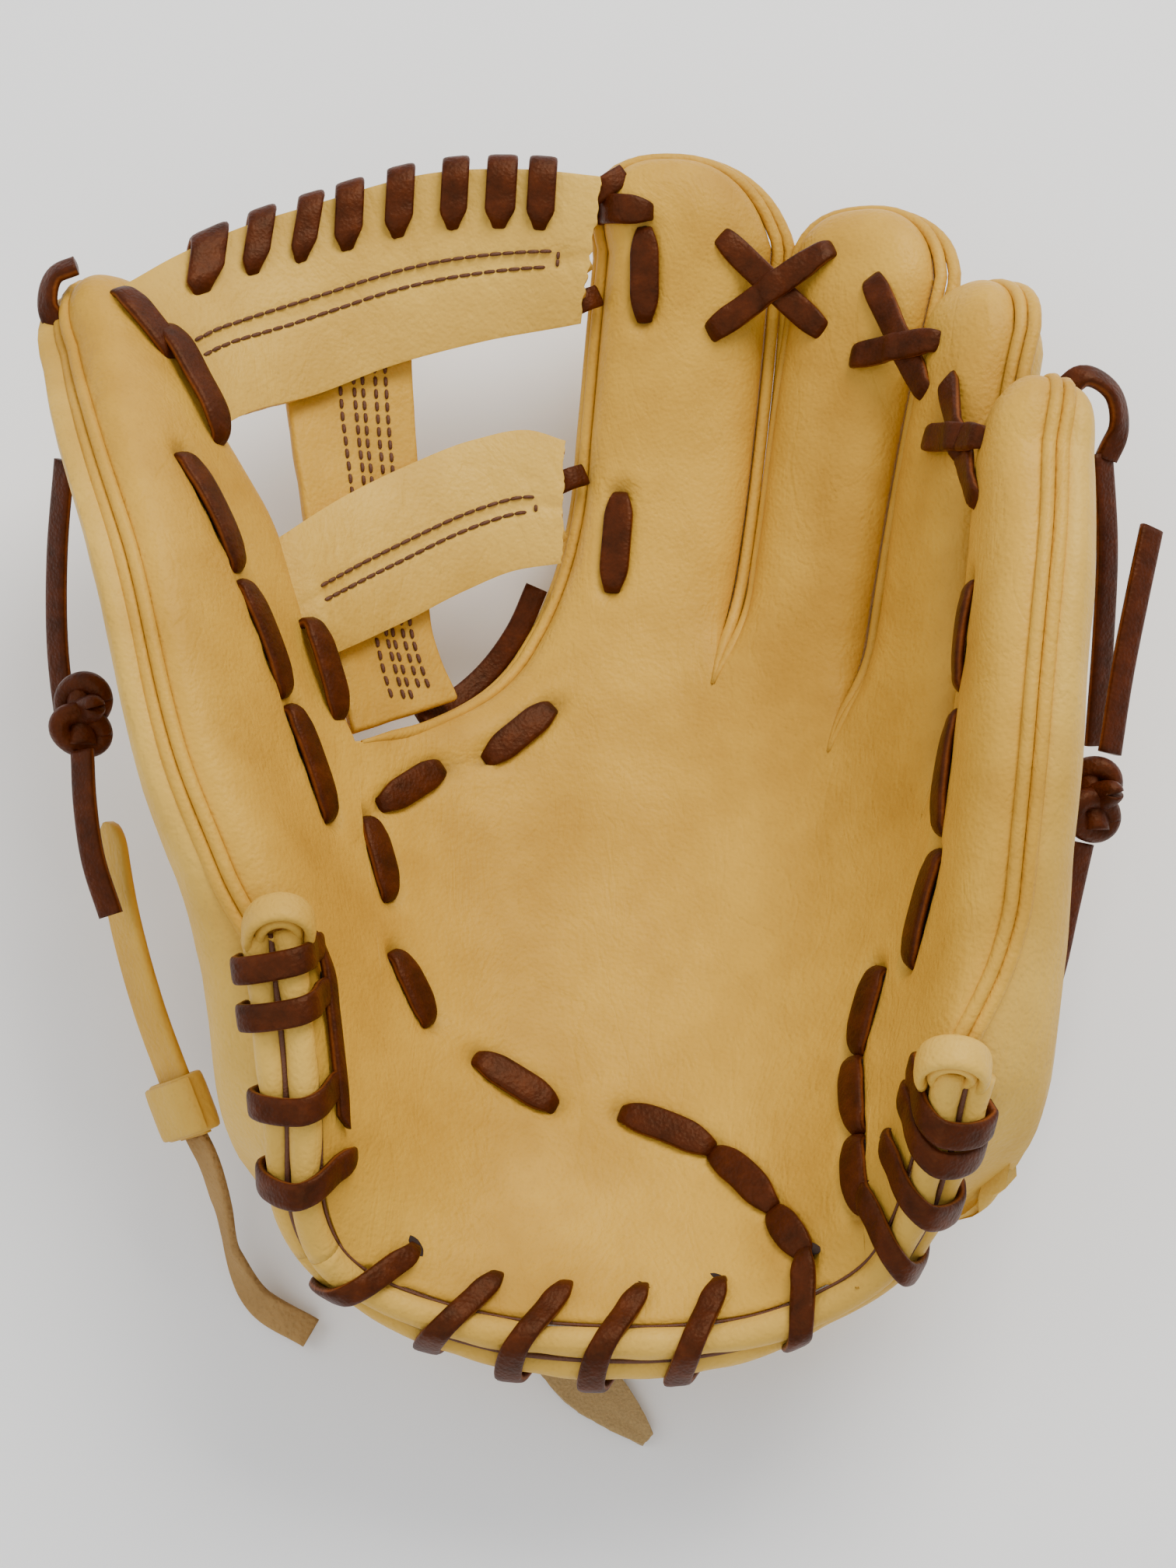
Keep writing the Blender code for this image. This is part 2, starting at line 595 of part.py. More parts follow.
def build_inside():
    """Felt pads, stiffeners and linings between the front leather and the hand."""
    flat_palm = np.array((-98, -80, -60, -40, -20, 0, 10), float)
    left, right = pattern(THUMB_FOLD, 5), pattern(PINKY_FOLD, -6)
    sheet("palm_pad", left, right, flat_palm, constant(-7.0), 2.8, FELT_COLOR, columns=9)
    sheet("palm_lining", left, right, flat_palm, constant(-10.2), 1.0, LINING_COLOR, columns=9)
    for name, stall, first in (("index", INDEX, 40), ("middle", MIDDLE, 44), ("ring", RING, 23)):
        rows = [y for y in STATIONS if first <= y <= stall.shoulder]
        inner = (lambda y, stall=stall: stall.left(y) + 7), (lambda y, stall=stall: stall.right(y) - 7)
        sheet(name + "_pad", *inner, rows, constant(-8.2), 2.3, FELT_COLOR, columns=4)
    side_stalls = (("thumb", THUMB, (-20, 1, 23, 46, 72, 95)),
                   ("pinky", PINKY, (-20, -6, 13, 34, 53, 72)))
    for name, stall, rows in side_stalls:
        left = (lambda y, stall=stall: stall.left(y) + 10)
        right = (lambda y, stall=stall: stall.right(y) - 9)
        sheet(name + "_pad", left, right, rows, constant(-7.5), 2.5, FELT_COLOR, columns=4)
        sheet(name + "_stay", left, right, rows, constant(-10.4), 1.5, PLASTIC_COLOR, columns=4)


# ---- the web ----------------------------------------------------------------------------
TOP_UPPER = ((-104, 126), (-85, 140), (-67, 148), (-39, 157), (-15, 158), (-3, 157))
TOP_LOWER = ((-90, 92), (-80, 96), (-68, 100.5), (-49, 111), (-26, 118), (-5, 122))
MIDDLE_UPPER = ((-73.5, 64), (-60, 76), (-45, 87), (-28, 95), (-12, 98), (-9.5, 97))
MIDDLE_LOWER = ((-66, 34), (-57, 40), (-45, 48), (-30, 58), (-18, 65), (-9.5, 67))
POST_LEFT = ((-75, 117), (-72, 90), (-67, 62), (-61, 37), (-56, 18.5))
POST_RIGHT = ((-43, 119), (-41, 92), (-38.5, 66), (-35.5, 45), (-30, 32))
BAR_THICK = 3.4
WRAP_DROP = 12.5                 # from the top edge of the web down to its holes


def between(lower, upper, rows, columns, height, crown=0.0):
    """A band between two lines of (girth, station), given as evenly spread points."""
    ends = []
    for points in (lower, upper):
        path = smooth_path([(g, y, 0) for g, y in points], columns)
        ends.append(path[:, :2])
    grid = []
    for t in np.linspace(0, 1, rows):
        mix = ends[0] * (1 - t) + ends[1] * t
        lift = height + crown * (1 - (2 * t - 1) ** 2)
        grid.append([(g, y, lift) for g, y in mix])
    return np.array(grid)


def top_edge(g):
    return float(line(TOP_UPPER, g))


def top_lace():
    """The lace wound over the web's top edge, through a hole at each turn."""
    back = -0.5 - BAR_THICK - GAP - LACE_THICK / 2
    front = OVER
    route, sides = [], []
    for g in TOP_WRAPS:
        edge = top_edge(g)
        route += [(g, edge - WRAP_DROP, back), (g, edge - WRAP_DROP, front), (g + 0.3, edge + 2.6, front),
                  (g + 0.6, edge + 2.6, back)]
        sides += [place(g + 3, top_edge(g + 3), 0) - place(g - 3, top_edge(g - 3), 0)] * 4
    route.append((TOP_WRAPS[-1] + 5, top_edge(-8) - 8, back))
    lace("top_bar_lace", route, np.array(sides + sides[-1:]) / MM)


def build_web():
    top = shell("web_top_bar", surface(between(TOP_LOWER, TOP_UPPER, 6, 12, -0.5)), BAR_THICK,
                LEATHER_COLOR, flip=True)
    cut_slots(top, ("top_bar_lace",))
    shell("web_middle_bar", surface(between(MIDDLE_LOWER, MIDDLE_UPPER, 5, 9, -0.5)), BAR_THICK,
          LEATHER_COLOR, flip=True)
    shell("web_post", surface(between(POST_LEFT, POST_RIGHT, 4, 11, -5.0)), 3.0, LEATHER_COLOR, flip=True)


def crossing(name, low_left, high_right, high_left, low_right, stalls):
    """An X of lace that ties two fingers: one strand over the gap, the other over it."""
    def lift(point, extra):
        stall = stalls[0] if point in (low_left, high_left) else stalls[1]
        return (*point, stall.height(*point) + extra)
    strands = ((high_left, low_right), (low_left, high_right))
    middle = [((a[0] + b[0]) / 2, (a[1] + b[1]) / 2) for a, b in strands]
    inside = tuple((a + b) / 2 for a, b in zip(low_right, high_right))
    route = [lift(high_left, UNDER), lift(high_left, OVER + 0.8), (*middle[0], OVER),
             lift(low_right, OVER + 0.8), lift(low_right, UNDER - 0.5), lift(inside, UNDER - 1),
             lift(high_right, UNDER - 0.5),
             lift(high_right, OVER + 1.6), (*middle[1], OVER + LACE_THICK + 0.8), lift(low_left, OVER + 1.6),
             lift(low_left, UNDER)]
    headings = [heading(high_left, low_right)] * 5 + [heading(low_right, high_right)]
    headings += [heading(high_right, low_left)] * 5
    return lace(name, route, side_vectors(route, headings))


def rounded_end(points, width):
    """Shrinks a strap's half widths to a round end over its last points."""
    points = np.array(points, float)
    left = np.linalg.norm(points[-1] - points, axis=1) / (width * MM)
    return np.clip(np.sqrt(np.clip(1 - (1 - np.clip(2 * left, 0, 1)) ** 2, 0.04, 1)), 0.2, 1)


def leather_strip(name, points, looks, width, thick, ends=(True, False), count=14):
    """A leather strap through points in millimetres; looks are the ways its face turns."""
    path = (smooth_path(points, count) - np.array(ORIGIN)) * MM
    share = np.linspace(0, 1, len(looks))
    spots = np.linspace(0, 1, count)
    looks = np.stack([np.interp(spots, share, np.array(looks)[:, k]) for k in range(3)], -1)
    ahead = np.gradient(path, axis=0)
    sides = np.cross(ahead, looks)
    sides /= np.linalg.norm(sides, axis=1, keepdims=True)
    scale = np.ones(count)
    if ends[0]:
        scale *= rounded_end(path[::-1], width)[::-1]
    if ends[1]:
        scale *= rounded_end(path, width)
    half = sides * (scale * width / 2 * MM)[:, None]
    return shell(name, np.stack([path - half, path, path + half], 1), thick, LEATHER_COLOR, offset=0)


STRAP_PATH = ((-110.5, -6, 50), (-106, -28, 47), (-100, -48, 43), (-93, -66, 38), (-89, -76, 35))
TAIL_PATH = ((-86, -80.5, 32), (-84, -90, 25), (-82.5, -99, 15), (-77, -110, 6), (-65, -117, 3))
STRAP_LOOK = (-0.75, -0.1, 0.65)
KEEPER = (-91.7, -69.5, 37.0)
KEEPER_AXIS = (-0.36, 0.897, 0.265)             # up the pull strap, towards its tip
KEEPER_SIZE = (15.2, 8.4, 8.0)                  # across the strap, through it and along it
KEEPER_OPENING = (11.6, 4.8)
TAG_LINE = ((-19, -113), (-7, -121), (3, -131), (14, -141))
TAG_SHARES = (0, 0.35, 0.7, 1)
TAG_HALF_WIDTH = 7.0
TAG_TOP = 3.2
TAG_THICK = 2.4
TAG_HOLE = (-6.0, -121.2)
TAG_HOLE_RADIUS = 2.6
TAG_CORD = ((14, -125, 6.5), (8, -123.5, 7), (1, -122, 7), (-4, -121.2, 5.8), (-6, -121.2, 1.9))


def build_straps():
    def strap_height(g, y):
        return -float(back_depth(g, y)) - 0.5 + 4 * ease((abs(g) - 34) / 20)
    wrist = [[(g, y - 3, strap_height(g, y)) for g in np.linspace(-42, 54, 10)]
             for y in (-106, -97, -88, -78, -68)]
    shell("wrist_strap", surface(np.array(wrist, float), flat=True), 2.6, LEATHER_COLOR)
    inner = [[(g, y, n + 6.5) for g, y, n in row[1:-1]] for row in wrist]
    shell("wrist_fleece", surface(np.array(inner, float)), 2.0, FELT_COLOR, flip=False, offset=1)
    looks = [STRAP_LOOK] * 5
    leather_strip("pull_strap", STRAP_PATH, looks, 9.5, 2.6)
    tail_looks = [STRAP_LOOK, STRAP_LOOK, (-0.8, 0, 0.6), (-0.4, -0.3, 0.8), (0, 0, 1)]
    leather_strip("strap_tail", TAIL_PATH, tail_looks, 8.5, 2.4, ends=(False, False))


def bar_mesh(name, loops):
    """Closed rings of points joined into one solid ring."""
    bm = bmesh.new()
    rings = [[bm.verts.new(point) for point in loop] for loop in loops]
    for ring, following in zip(rings, rings[1:] + rings[:1]):
        for k in range(len(ring)):
            bm.faces.new((ring[k], ring[k - 1], following[k - 1], following[k]))
    bmesh.ops.recalc_face_normals(bm, faces=bm.faces)
    mesh = bpy.data.meshes.new(name)
    bm.to_mesh(mesh)
    bm.free()
    return mesh


def build_keeper():
    """The flat loop of leather that holds the pull strap's end and slides along it."""
    ahead = np.array(KEEPER_AXIS) / np.linalg.norm(KEEPER_AXIS)
    across = np.cross(ahead, STRAP_LOOK)
    across /= np.linalg.norm(across)
    through = np.cross(across, ahead)
    centre = np.array(KEEPER, float) - ORIGIN
    corners = ((-1, -1), (1, -1), (1, 1), (-1, 1))
    loops = []
    for width, height, along in ((*KEEPER_SIZE[:2], -1), (*KEEPER_SIZE[:2], 1),
                                 (*KEEPER_OPENING, 1), (*KEEPER_OPENING, -1)):
        shift = centre + ahead * (along * KEEPER_SIZE[2] / 2)
        loops.append([(shift + across * (u * width / 2) + through * (v * height / 2)) * MM
                      for u, v in corners])
    add("strap_keeper", bar_mesh("strap_keeper", loops), LEATHER_COLOR)


def knot(name, centre, size=(11, 15, 9)):
    """A lace knot: one rounded lump about the size of the tied lace."""
    bm = bmesh.new()
    bmesh.ops.create_uvsphere(bm, u_segments=10, v_segments=6, radius=0.5)
    for vert in bm.verts:
        vert.co = [(vert.co[k] * size[k] + centre[k] - ORIGIN[k]) * MM for k in range(3)]
    mesh = bpy.data.meshes.new(name)
    bm.to_mesh(mesh)
    bm.free()
    return add(name, mesh, LACE_COLOR, 0.45)


def free_lace(name, points, width=LACE_WIDTH):
    """A free end of lace through points in millimetres, its face turned outward."""
    path = (smooth_path(points, 14) - np.array(ORIGIN)) * MM
    ahead = np.gradient(path, axis=0)
    outward = np.array([np.sign(points[0][0]), 0, 0.35])
    return ribbon(name, path, np.cross(ahead, outward), width, LACE_THICK + 0.3, LACE_COLOR)


THUMB_KNOT = (-115, 15, 64)
PINKY_KNOT = (114, -4, 60)
FREE_LACES = {
    "thumb_tail_long": ((-121, 74, 74), (-124, 56, 62), (-125, 36, 50), (-123, 16, 40)),
    "thumb_tail_short": ((-114, 6, 66), (-113, -6, 64), (-111, -18, 61), (-107, -30, 57)),
    "pinky_tail_long": ((118, 74, 78), (120, 56, 68), (120, 36, 57), (119, 14, 46)),
    "pinky_tail_up": ((118, 6, 64), (121, 23, 68), (125, 41, 72), (129, 57, 74)),
    "pinky_tail_down": ((112, -13, 57), (109, -26, 52), (105, -42, 47), (100, -54, 44)),
}


def build_free_laces():
    knot("thumb_knot", THUMB_KNOT)
    knot("pinky_knot", PINKY_KNOT)
    for name, points in FREE_LACES.items():
        free_lace(name, points)


def build_tag():
    """The leaf-shaped leather tag that lies under the heel, and the cord in its hole."""
    rows = []
    for t in np.linspace(0, 1, 9):
        centre = [np.interp(t, TAG_SHARES, [p[k] for p in TAG_LINE]) for k in (0, 1)]
        half = TAG_HALF_WIDTH * math.sin(math.pi * (0.1 + 0.8 * t)) ** 0.7 * math.sqrt(0.5)
        rows.append([(centre[0] + side * half, centre[1] + side * half, TAG_TOP) for side in (-1, 0, 1)])
    tag = shell("hang_tag", (np.array(rows) - np.array(ORIGIN)) * MM, TAG_THICK, LEATHER_COLOR)
    bm = bmesh.new()
    bmesh.ops.create_cone(bm, cap_ends=True, segments=16, radius1=TAG_HOLE_RADIUS * MM,
                          radius2=TAG_HOLE_RADIUS * MM, depth=4 * TAG_THICK * MM)
    for vert in bm.verts:
        vert.co.x += (TAG_HOLE[0] - ORIGIN[0]) * MM
        vert.co.y += (TAG_HOLE[1] - ORIGIN[1]) * MM
    cut_with(tag, bm)
    tube("tag_cord", (np.array(TAG_CORD) - np.array(ORIGIN)) * MM, 1.0, PLASTIC_COLOR, sides=1)


def build_laces():
    """Every woven lace; the leather pieces are cut for them afterwards."""
    woven("palm_lace", PALM_RUNS, INDEX)
    woven("palm_chain_lace", CHAIN_RUNS, RING)
    woven("web_index_lace", INDEX_RUNS, INDEX)
    woven("thumb_stall_lace", THUMB_RUNS, THUMB)
    woven("pinky_stall_lace", PINKY_RUNS, PINKY)
    rim_lace("heel_lace_thumb", THUMB_WRAPS, 0.15)
    rim_lace("heel_lace_centre", CENTRE_WRAPS, -0.6)
    rim_lace("heel_lace_pinky", PINKY_WRAPS, -0.2)
    top_lace()
    crossing("index_middle_lace", (30.5, 121), (60, 137), (33, 143), (58, 118), (INDEX, MIDDLE))
    crossing("middle_ring_lace", (67, 109), (92.5, 104), (71, 127), (89.5, 93), (MIDDLE, RING))
    crossing("ring_pinky_lace", (93, 80), (119.5, 69), (98, 92.5), (118.5, 55), (RING, PINKY))


parts = new_collection(NAME)
cutters = new_collection("cutters", hidden=True)
build_laces()
build_palm()
build_stalls()
build_rim()
build_inside()
build_web()
build_straps()
build_keeper()
build_free_laces()
build_tag()
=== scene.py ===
"""Baseball fielding glove: leather, laces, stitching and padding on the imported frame."""
import json
import math

import bmesh
import bpy
import numpy as np
from mathutils import Vector, noise
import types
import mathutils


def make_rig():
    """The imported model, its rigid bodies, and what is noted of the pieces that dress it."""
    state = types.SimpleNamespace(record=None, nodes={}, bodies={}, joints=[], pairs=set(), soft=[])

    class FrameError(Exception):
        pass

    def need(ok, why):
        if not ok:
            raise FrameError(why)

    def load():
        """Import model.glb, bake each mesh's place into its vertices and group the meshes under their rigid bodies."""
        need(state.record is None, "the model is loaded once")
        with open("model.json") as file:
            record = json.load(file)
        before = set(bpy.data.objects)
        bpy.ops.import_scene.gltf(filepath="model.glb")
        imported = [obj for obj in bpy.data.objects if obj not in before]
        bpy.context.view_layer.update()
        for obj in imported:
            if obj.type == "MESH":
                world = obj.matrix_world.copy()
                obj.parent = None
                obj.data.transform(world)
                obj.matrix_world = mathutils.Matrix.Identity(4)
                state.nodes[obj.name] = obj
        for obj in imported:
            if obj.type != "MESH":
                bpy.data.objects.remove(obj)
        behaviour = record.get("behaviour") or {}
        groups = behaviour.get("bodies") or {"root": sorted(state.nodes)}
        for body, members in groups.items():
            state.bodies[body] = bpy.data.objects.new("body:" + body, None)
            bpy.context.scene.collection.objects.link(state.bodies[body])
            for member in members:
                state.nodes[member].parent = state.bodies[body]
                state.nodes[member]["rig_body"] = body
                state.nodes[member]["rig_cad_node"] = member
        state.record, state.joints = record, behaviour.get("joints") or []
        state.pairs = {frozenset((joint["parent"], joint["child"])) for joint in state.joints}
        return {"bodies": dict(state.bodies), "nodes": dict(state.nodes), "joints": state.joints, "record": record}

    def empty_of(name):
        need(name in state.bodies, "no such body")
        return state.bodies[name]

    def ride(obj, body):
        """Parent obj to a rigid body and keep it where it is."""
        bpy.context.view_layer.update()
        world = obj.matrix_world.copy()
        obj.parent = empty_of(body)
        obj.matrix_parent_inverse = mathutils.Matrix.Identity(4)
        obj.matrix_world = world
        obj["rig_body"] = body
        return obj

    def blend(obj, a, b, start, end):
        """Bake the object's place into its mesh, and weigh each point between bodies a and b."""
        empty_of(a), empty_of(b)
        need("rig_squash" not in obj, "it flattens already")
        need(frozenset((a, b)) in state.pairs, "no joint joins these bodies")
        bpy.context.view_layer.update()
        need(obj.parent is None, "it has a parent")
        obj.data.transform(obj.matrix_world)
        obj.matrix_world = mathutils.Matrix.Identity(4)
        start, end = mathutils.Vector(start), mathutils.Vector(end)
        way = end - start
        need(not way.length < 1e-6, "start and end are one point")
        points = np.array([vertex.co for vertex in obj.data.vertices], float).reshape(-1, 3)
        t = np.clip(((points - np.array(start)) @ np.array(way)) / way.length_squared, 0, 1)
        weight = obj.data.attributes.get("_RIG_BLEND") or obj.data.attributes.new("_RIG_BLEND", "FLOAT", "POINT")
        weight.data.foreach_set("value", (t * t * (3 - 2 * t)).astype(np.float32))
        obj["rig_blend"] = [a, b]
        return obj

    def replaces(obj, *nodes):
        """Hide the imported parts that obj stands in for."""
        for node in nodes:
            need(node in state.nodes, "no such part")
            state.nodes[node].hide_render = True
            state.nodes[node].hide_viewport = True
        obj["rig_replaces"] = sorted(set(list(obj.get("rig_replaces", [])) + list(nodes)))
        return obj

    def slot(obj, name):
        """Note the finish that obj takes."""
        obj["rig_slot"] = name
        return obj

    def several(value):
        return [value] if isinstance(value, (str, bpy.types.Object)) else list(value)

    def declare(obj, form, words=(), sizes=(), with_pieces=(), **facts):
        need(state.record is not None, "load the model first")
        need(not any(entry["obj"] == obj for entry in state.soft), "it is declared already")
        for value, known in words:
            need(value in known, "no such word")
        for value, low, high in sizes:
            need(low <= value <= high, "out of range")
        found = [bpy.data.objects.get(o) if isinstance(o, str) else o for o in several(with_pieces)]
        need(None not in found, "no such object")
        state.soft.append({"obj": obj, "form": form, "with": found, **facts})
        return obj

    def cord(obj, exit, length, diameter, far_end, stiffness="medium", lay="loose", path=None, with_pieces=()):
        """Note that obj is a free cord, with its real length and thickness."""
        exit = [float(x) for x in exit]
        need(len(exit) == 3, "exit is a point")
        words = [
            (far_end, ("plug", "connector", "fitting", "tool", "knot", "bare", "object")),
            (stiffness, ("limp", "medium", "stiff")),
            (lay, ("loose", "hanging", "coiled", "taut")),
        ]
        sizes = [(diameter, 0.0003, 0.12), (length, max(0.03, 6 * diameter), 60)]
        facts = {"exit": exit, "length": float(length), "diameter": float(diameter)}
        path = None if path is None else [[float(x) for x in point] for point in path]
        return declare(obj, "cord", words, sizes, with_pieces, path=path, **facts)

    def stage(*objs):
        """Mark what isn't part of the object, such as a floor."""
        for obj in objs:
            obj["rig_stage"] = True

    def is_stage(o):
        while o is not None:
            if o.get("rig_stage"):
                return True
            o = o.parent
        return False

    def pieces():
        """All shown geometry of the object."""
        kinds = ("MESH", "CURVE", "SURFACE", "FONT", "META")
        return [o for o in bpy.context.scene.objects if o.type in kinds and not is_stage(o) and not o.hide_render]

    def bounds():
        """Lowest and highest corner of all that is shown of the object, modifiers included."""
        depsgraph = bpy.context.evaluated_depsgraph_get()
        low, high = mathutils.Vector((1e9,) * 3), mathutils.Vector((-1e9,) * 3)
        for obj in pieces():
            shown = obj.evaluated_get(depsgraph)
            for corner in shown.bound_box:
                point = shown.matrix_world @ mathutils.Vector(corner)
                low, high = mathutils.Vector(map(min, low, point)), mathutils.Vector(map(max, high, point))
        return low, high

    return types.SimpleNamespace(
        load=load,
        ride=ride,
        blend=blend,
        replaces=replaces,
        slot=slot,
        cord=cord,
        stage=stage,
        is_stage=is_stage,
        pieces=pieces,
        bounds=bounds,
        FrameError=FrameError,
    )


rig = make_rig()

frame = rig.load()
CAD_BOX = [list(map(float, corner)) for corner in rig.bounds()]

MM = 0.001
ORIGIN = np.array((-4.12, 12.54, 0.0))

# ---- camera ----
def add(name, data):
    obj = bpy.data.objects.new(name, data)
    bpy.context.scene.collection.objects.link(obj)
    return obj


camera = add("camera", bpy.data.cameras.new("camera"))
bpy.context.scene.camera = camera
TILT = math.radians(72)
DISTANCE = 535
camera.location = (np.array((0, -DISTANCE * math.cos(TILT), 60 + DISTANCE * math.sin(TILT))) - ORIGIN) * MM
camera.rotation_euler = (math.radians(18), 0, 0)
camera.data.sensor_fit = "VERTICAL"
camera.data.sensor_height = 36
camera.data.lens = 54.1
camera.data.clip_start = 0.01

# ---- the glove's design, as in part.py ----
FLOOR = ((-120, 54), (-90, 42), (-60, 35), (-20, 30), (20, 29), (60, 32), (100, 41), (140, 55), (165, 66))
THUMB_GIRTH = ((-120, 47), (-90, 64), (-45, 88), (0, 112), (50, 122), (80, 122), (112, 121), (130, 123))
THUMB_SLOPE = ((-120, 8), (-90, 50), (-45, 72), (0, 72), (50, 64), (80, 51), (112, 33), (130, 25))
PINKY_GIRTH = ((-120, 43), (-90, 77), (-45, 112), (0, 129), (40, 134), (80, 126), (120, 116), (150, 107))
PINKY_SLOPE = ((-120, 8), (-90, 55), (-45, 80), (0, 87), (40, 85), (80, 74), (120, 52), (150, 27))
THUMB_BEND, PINKY_BEND = 1.3, 2.0
THUMB_FOLD = ((-120, -46.5), (13, -60))
PINKY_FOLD = ((-120, 58), (-13, 90))
INDEX_FORK = ((-120, 8), (34, 30))
RING_FORK = ((-120, 28), (13, 59))
WEB_CURVE = ((13, -60), (16, -53), (20, -43), (26, -32), (33, -22.5),
             (41, -15.5), (50, -10.5), (62, -5.5), (80, -1), (100, 1), (140, 5), (165, 8))
WEB_EDGE = ((13, -60), (22, -64), (48, -70), (65, -77), (88, -92), (112, -103))
INDEX_RIGHT = ((34, 30), (50, 32.5), (68, 35.5), (107, 40.5), (140, 44))
MIDDLE_LEFT = ((34, 30), (50, 37), (68, 40), (107, 45.5), (128, 49))
MIDDLE_RIGHT = ((13, 59), (30, 62), (44, 64.5), (80, 72), (107, 78), (125, 82))
RING_LEFT = ((13, 59), (30, 66), (44, 69.5), (80, 77), (107, 84))
RING_RIGHT = ((-13, 90), (10, 94.5), (30, 98), (60, 103), (100, 108))
PINKY_LEFT = ((-13, 90), (10, 98.5), (30, 103), (60, 109), (80, 113))
THUMB_OUTER = ((-107, -53), (-97, -62), (-80, -72), (-57, -84), (-40, -92),
               (0, -114), (50, -124), (112, -125))
PINKY_OUTER = ((-106, 65), (-92, 78), (-80, 90), (-69, 100), (-60, 106),
               (-45, 113), (0, 130), (40, 136), (80, 130))
HEEL_EDGE = ((-91, -40), (-84, -57), (-72, -80), (-62, -97), (-54, -105), (-47, -109), (-36, -113),
             (-20, -117), (0, -119), (20, -119), (36, -117), (50, -112.5), (62, -106.5), (68.5, -101),
             (78, -92), (90, -80), (100, -69))
HEEL = HEEL_EDGE[3:14]
HEEL_GIRTHS, HEEL_STATIONS = zip(*HEEL_EDGE)
EDGE_DEPTH, BACK_EDGE_DEPTH, RIM_DROP = 10.3, 13.7, 6.5
SEAM_RISE, RIM_RISE = 30.0, 45.0
HEEL_BORDER, HEEL_TAPER, LEAST_BULGE = 7, (0.2, 1.3), 0.08
LEATHER, BACK_LEATHER, ROUNDNESS = 2.4, 2.0, 2.5
LACE_WIDTH = 6.3
BACK_DEPTH = ((-120, 42), (-90, 38), (-60, 34), (-20, 31), (20, 31), (60, 31), (107, 27), (165, 24))
SIDE_DEPTH = ((-120, 38), (-90, 35), (-45, 29), (0, 26), (50, 25), (112, 23))


def line(points, x):
    """Smooth curve through (x, value) points, straight beyond the ends."""
    xs = np.array([p[0] for p in points], float)
    vs = np.array([p[1] for p in points], float)
    slopes = np.gradient(vs, xs)
    x = np.asarray(x, float)
    i = np.clip(np.searchsorted(xs, x) - 1, 0, len(xs) - 2)
    h = xs[i + 1] - xs[i]
    t = np.clip((x - xs[i]) / h, 0, 1)
    value = (2 * t**3 - 3 * t**2 + 1) * vs[i] + (t**3 - 2 * t**2 + t) * h * slopes[i]
    value += (3 * t**2 - 2 * t**3) * vs[i + 1] + (t**3 - t**2) * h * slopes[i + 1]
    return value + slopes[0] * np.minimum(x - xs[0], 0) + slopes[-1] * np.maximum(x - xs[-1], 0)


def ease(t):
    t = np.clip(t, 0, 1)
    return t * t * (3 - 2 * t)


NODES, WEIGHTS = np.polynomial.legendre.leggauss(12)
NODES, WEIGHTS = (NODES + 1) / 2, WEIGHTS / 2


def pocket(g, y):
    """The palm face at girth g and station y, mm."""
    g, y = np.broadcast_arrays(np.asarray(g, float), np.asarray(y, float))
    thumb_side = g < 0
    rim = np.where(thumb_side, line(THUMB_GIRTH, y), line(PINKY_GIRTH, y))
    slope = np.radians(np.where(thumb_side, line(THUMB_SLOPE, y), line(PINKY_SLOPE, y)))
    bend = np.where(thumb_side, THUMB_BEND, PINKY_BEND)
    part = np.clip(np.abs(g)[..., None] * NODES / rim[..., None], 0, 1.12)
    angle = slope[..., None] * np.sin(np.pi / 2 * part) ** bend[..., None]
    x = g * (np.cos(angle) * WEIGHTS).sum(-1)
    z = line(FLOOR, y) + np.abs(g) * (np.sin(angle) * WEIGHTS).sum(-1)
    return np.stack([x, y, z], -1)


def place(g, y, n, flat=False):
    """A point n over the palm face, in metres in the glove's frame."""
    g, y, n = np.broadcast_arrays(*(np.asarray(v, float) for v in (g, y, n)))
    across = pocket(g + 0.5, y) - pocket(g - 0.5, y)
    along = pocket(g, y + 0.5) - pocket(g, y - 0.5)
    normal = np.cross(across, along)
    normal /= np.linalg.norm(normal, axis=-1, keepdims=True)
    point = pocket(g, y) + normal * n[..., None]
    if flat:
        point[..., 2] = np.maximum(point[..., 2], 0)
    return (point - ORIGIN) * MM


def power(value, exponent):
    return np.sign(value) * np.abs(value) ** exponent


def superellipse(angle):
    return np.abs(np.cos(angle)) ** (2 / ROUNDNESS), power(np.sin(angle), 2 / ROUNDNESS)


def heel_station(g, y):
    """Draws the palm's lower rows up to the heel edge, except right beside the folds."""
    share = np.clip((-78 - y) / 40, 0, 1) ** 1.5
    beside = min(g - float(line(THUMB_FOLD, y)), float(line(PINKY_FOLD, y)) - g)
    station = y + share * (line(HEEL, g) + 118) * ease(beside / 7)
    return max(station, float(np.interp(g, HEEL_GIRTHS, HEEL_STATIONS)) - 4)


def back_depth(g, y):
    rim = line(THUMB_GIRTH, y) if g < 0 else line(PINKY_GIRTH, y)
    share = ease(abs(g) / rim)
    return line(BACK_DEPTH, y) * (1 - share) + line(SIDE_DEPTH, y) * share


def wave(x, y, z):
    return noise.noise(Vector((x, y, z)))


def forked(shared, free):
    fork = shared[-1][0]
    return lambda y: np.where(np.asarray(y) <= fork, line(shared, y), line(free, y))


def pattern(points):
    return lambda y: line(points, y)


FORKS = (-13, 13, 34)


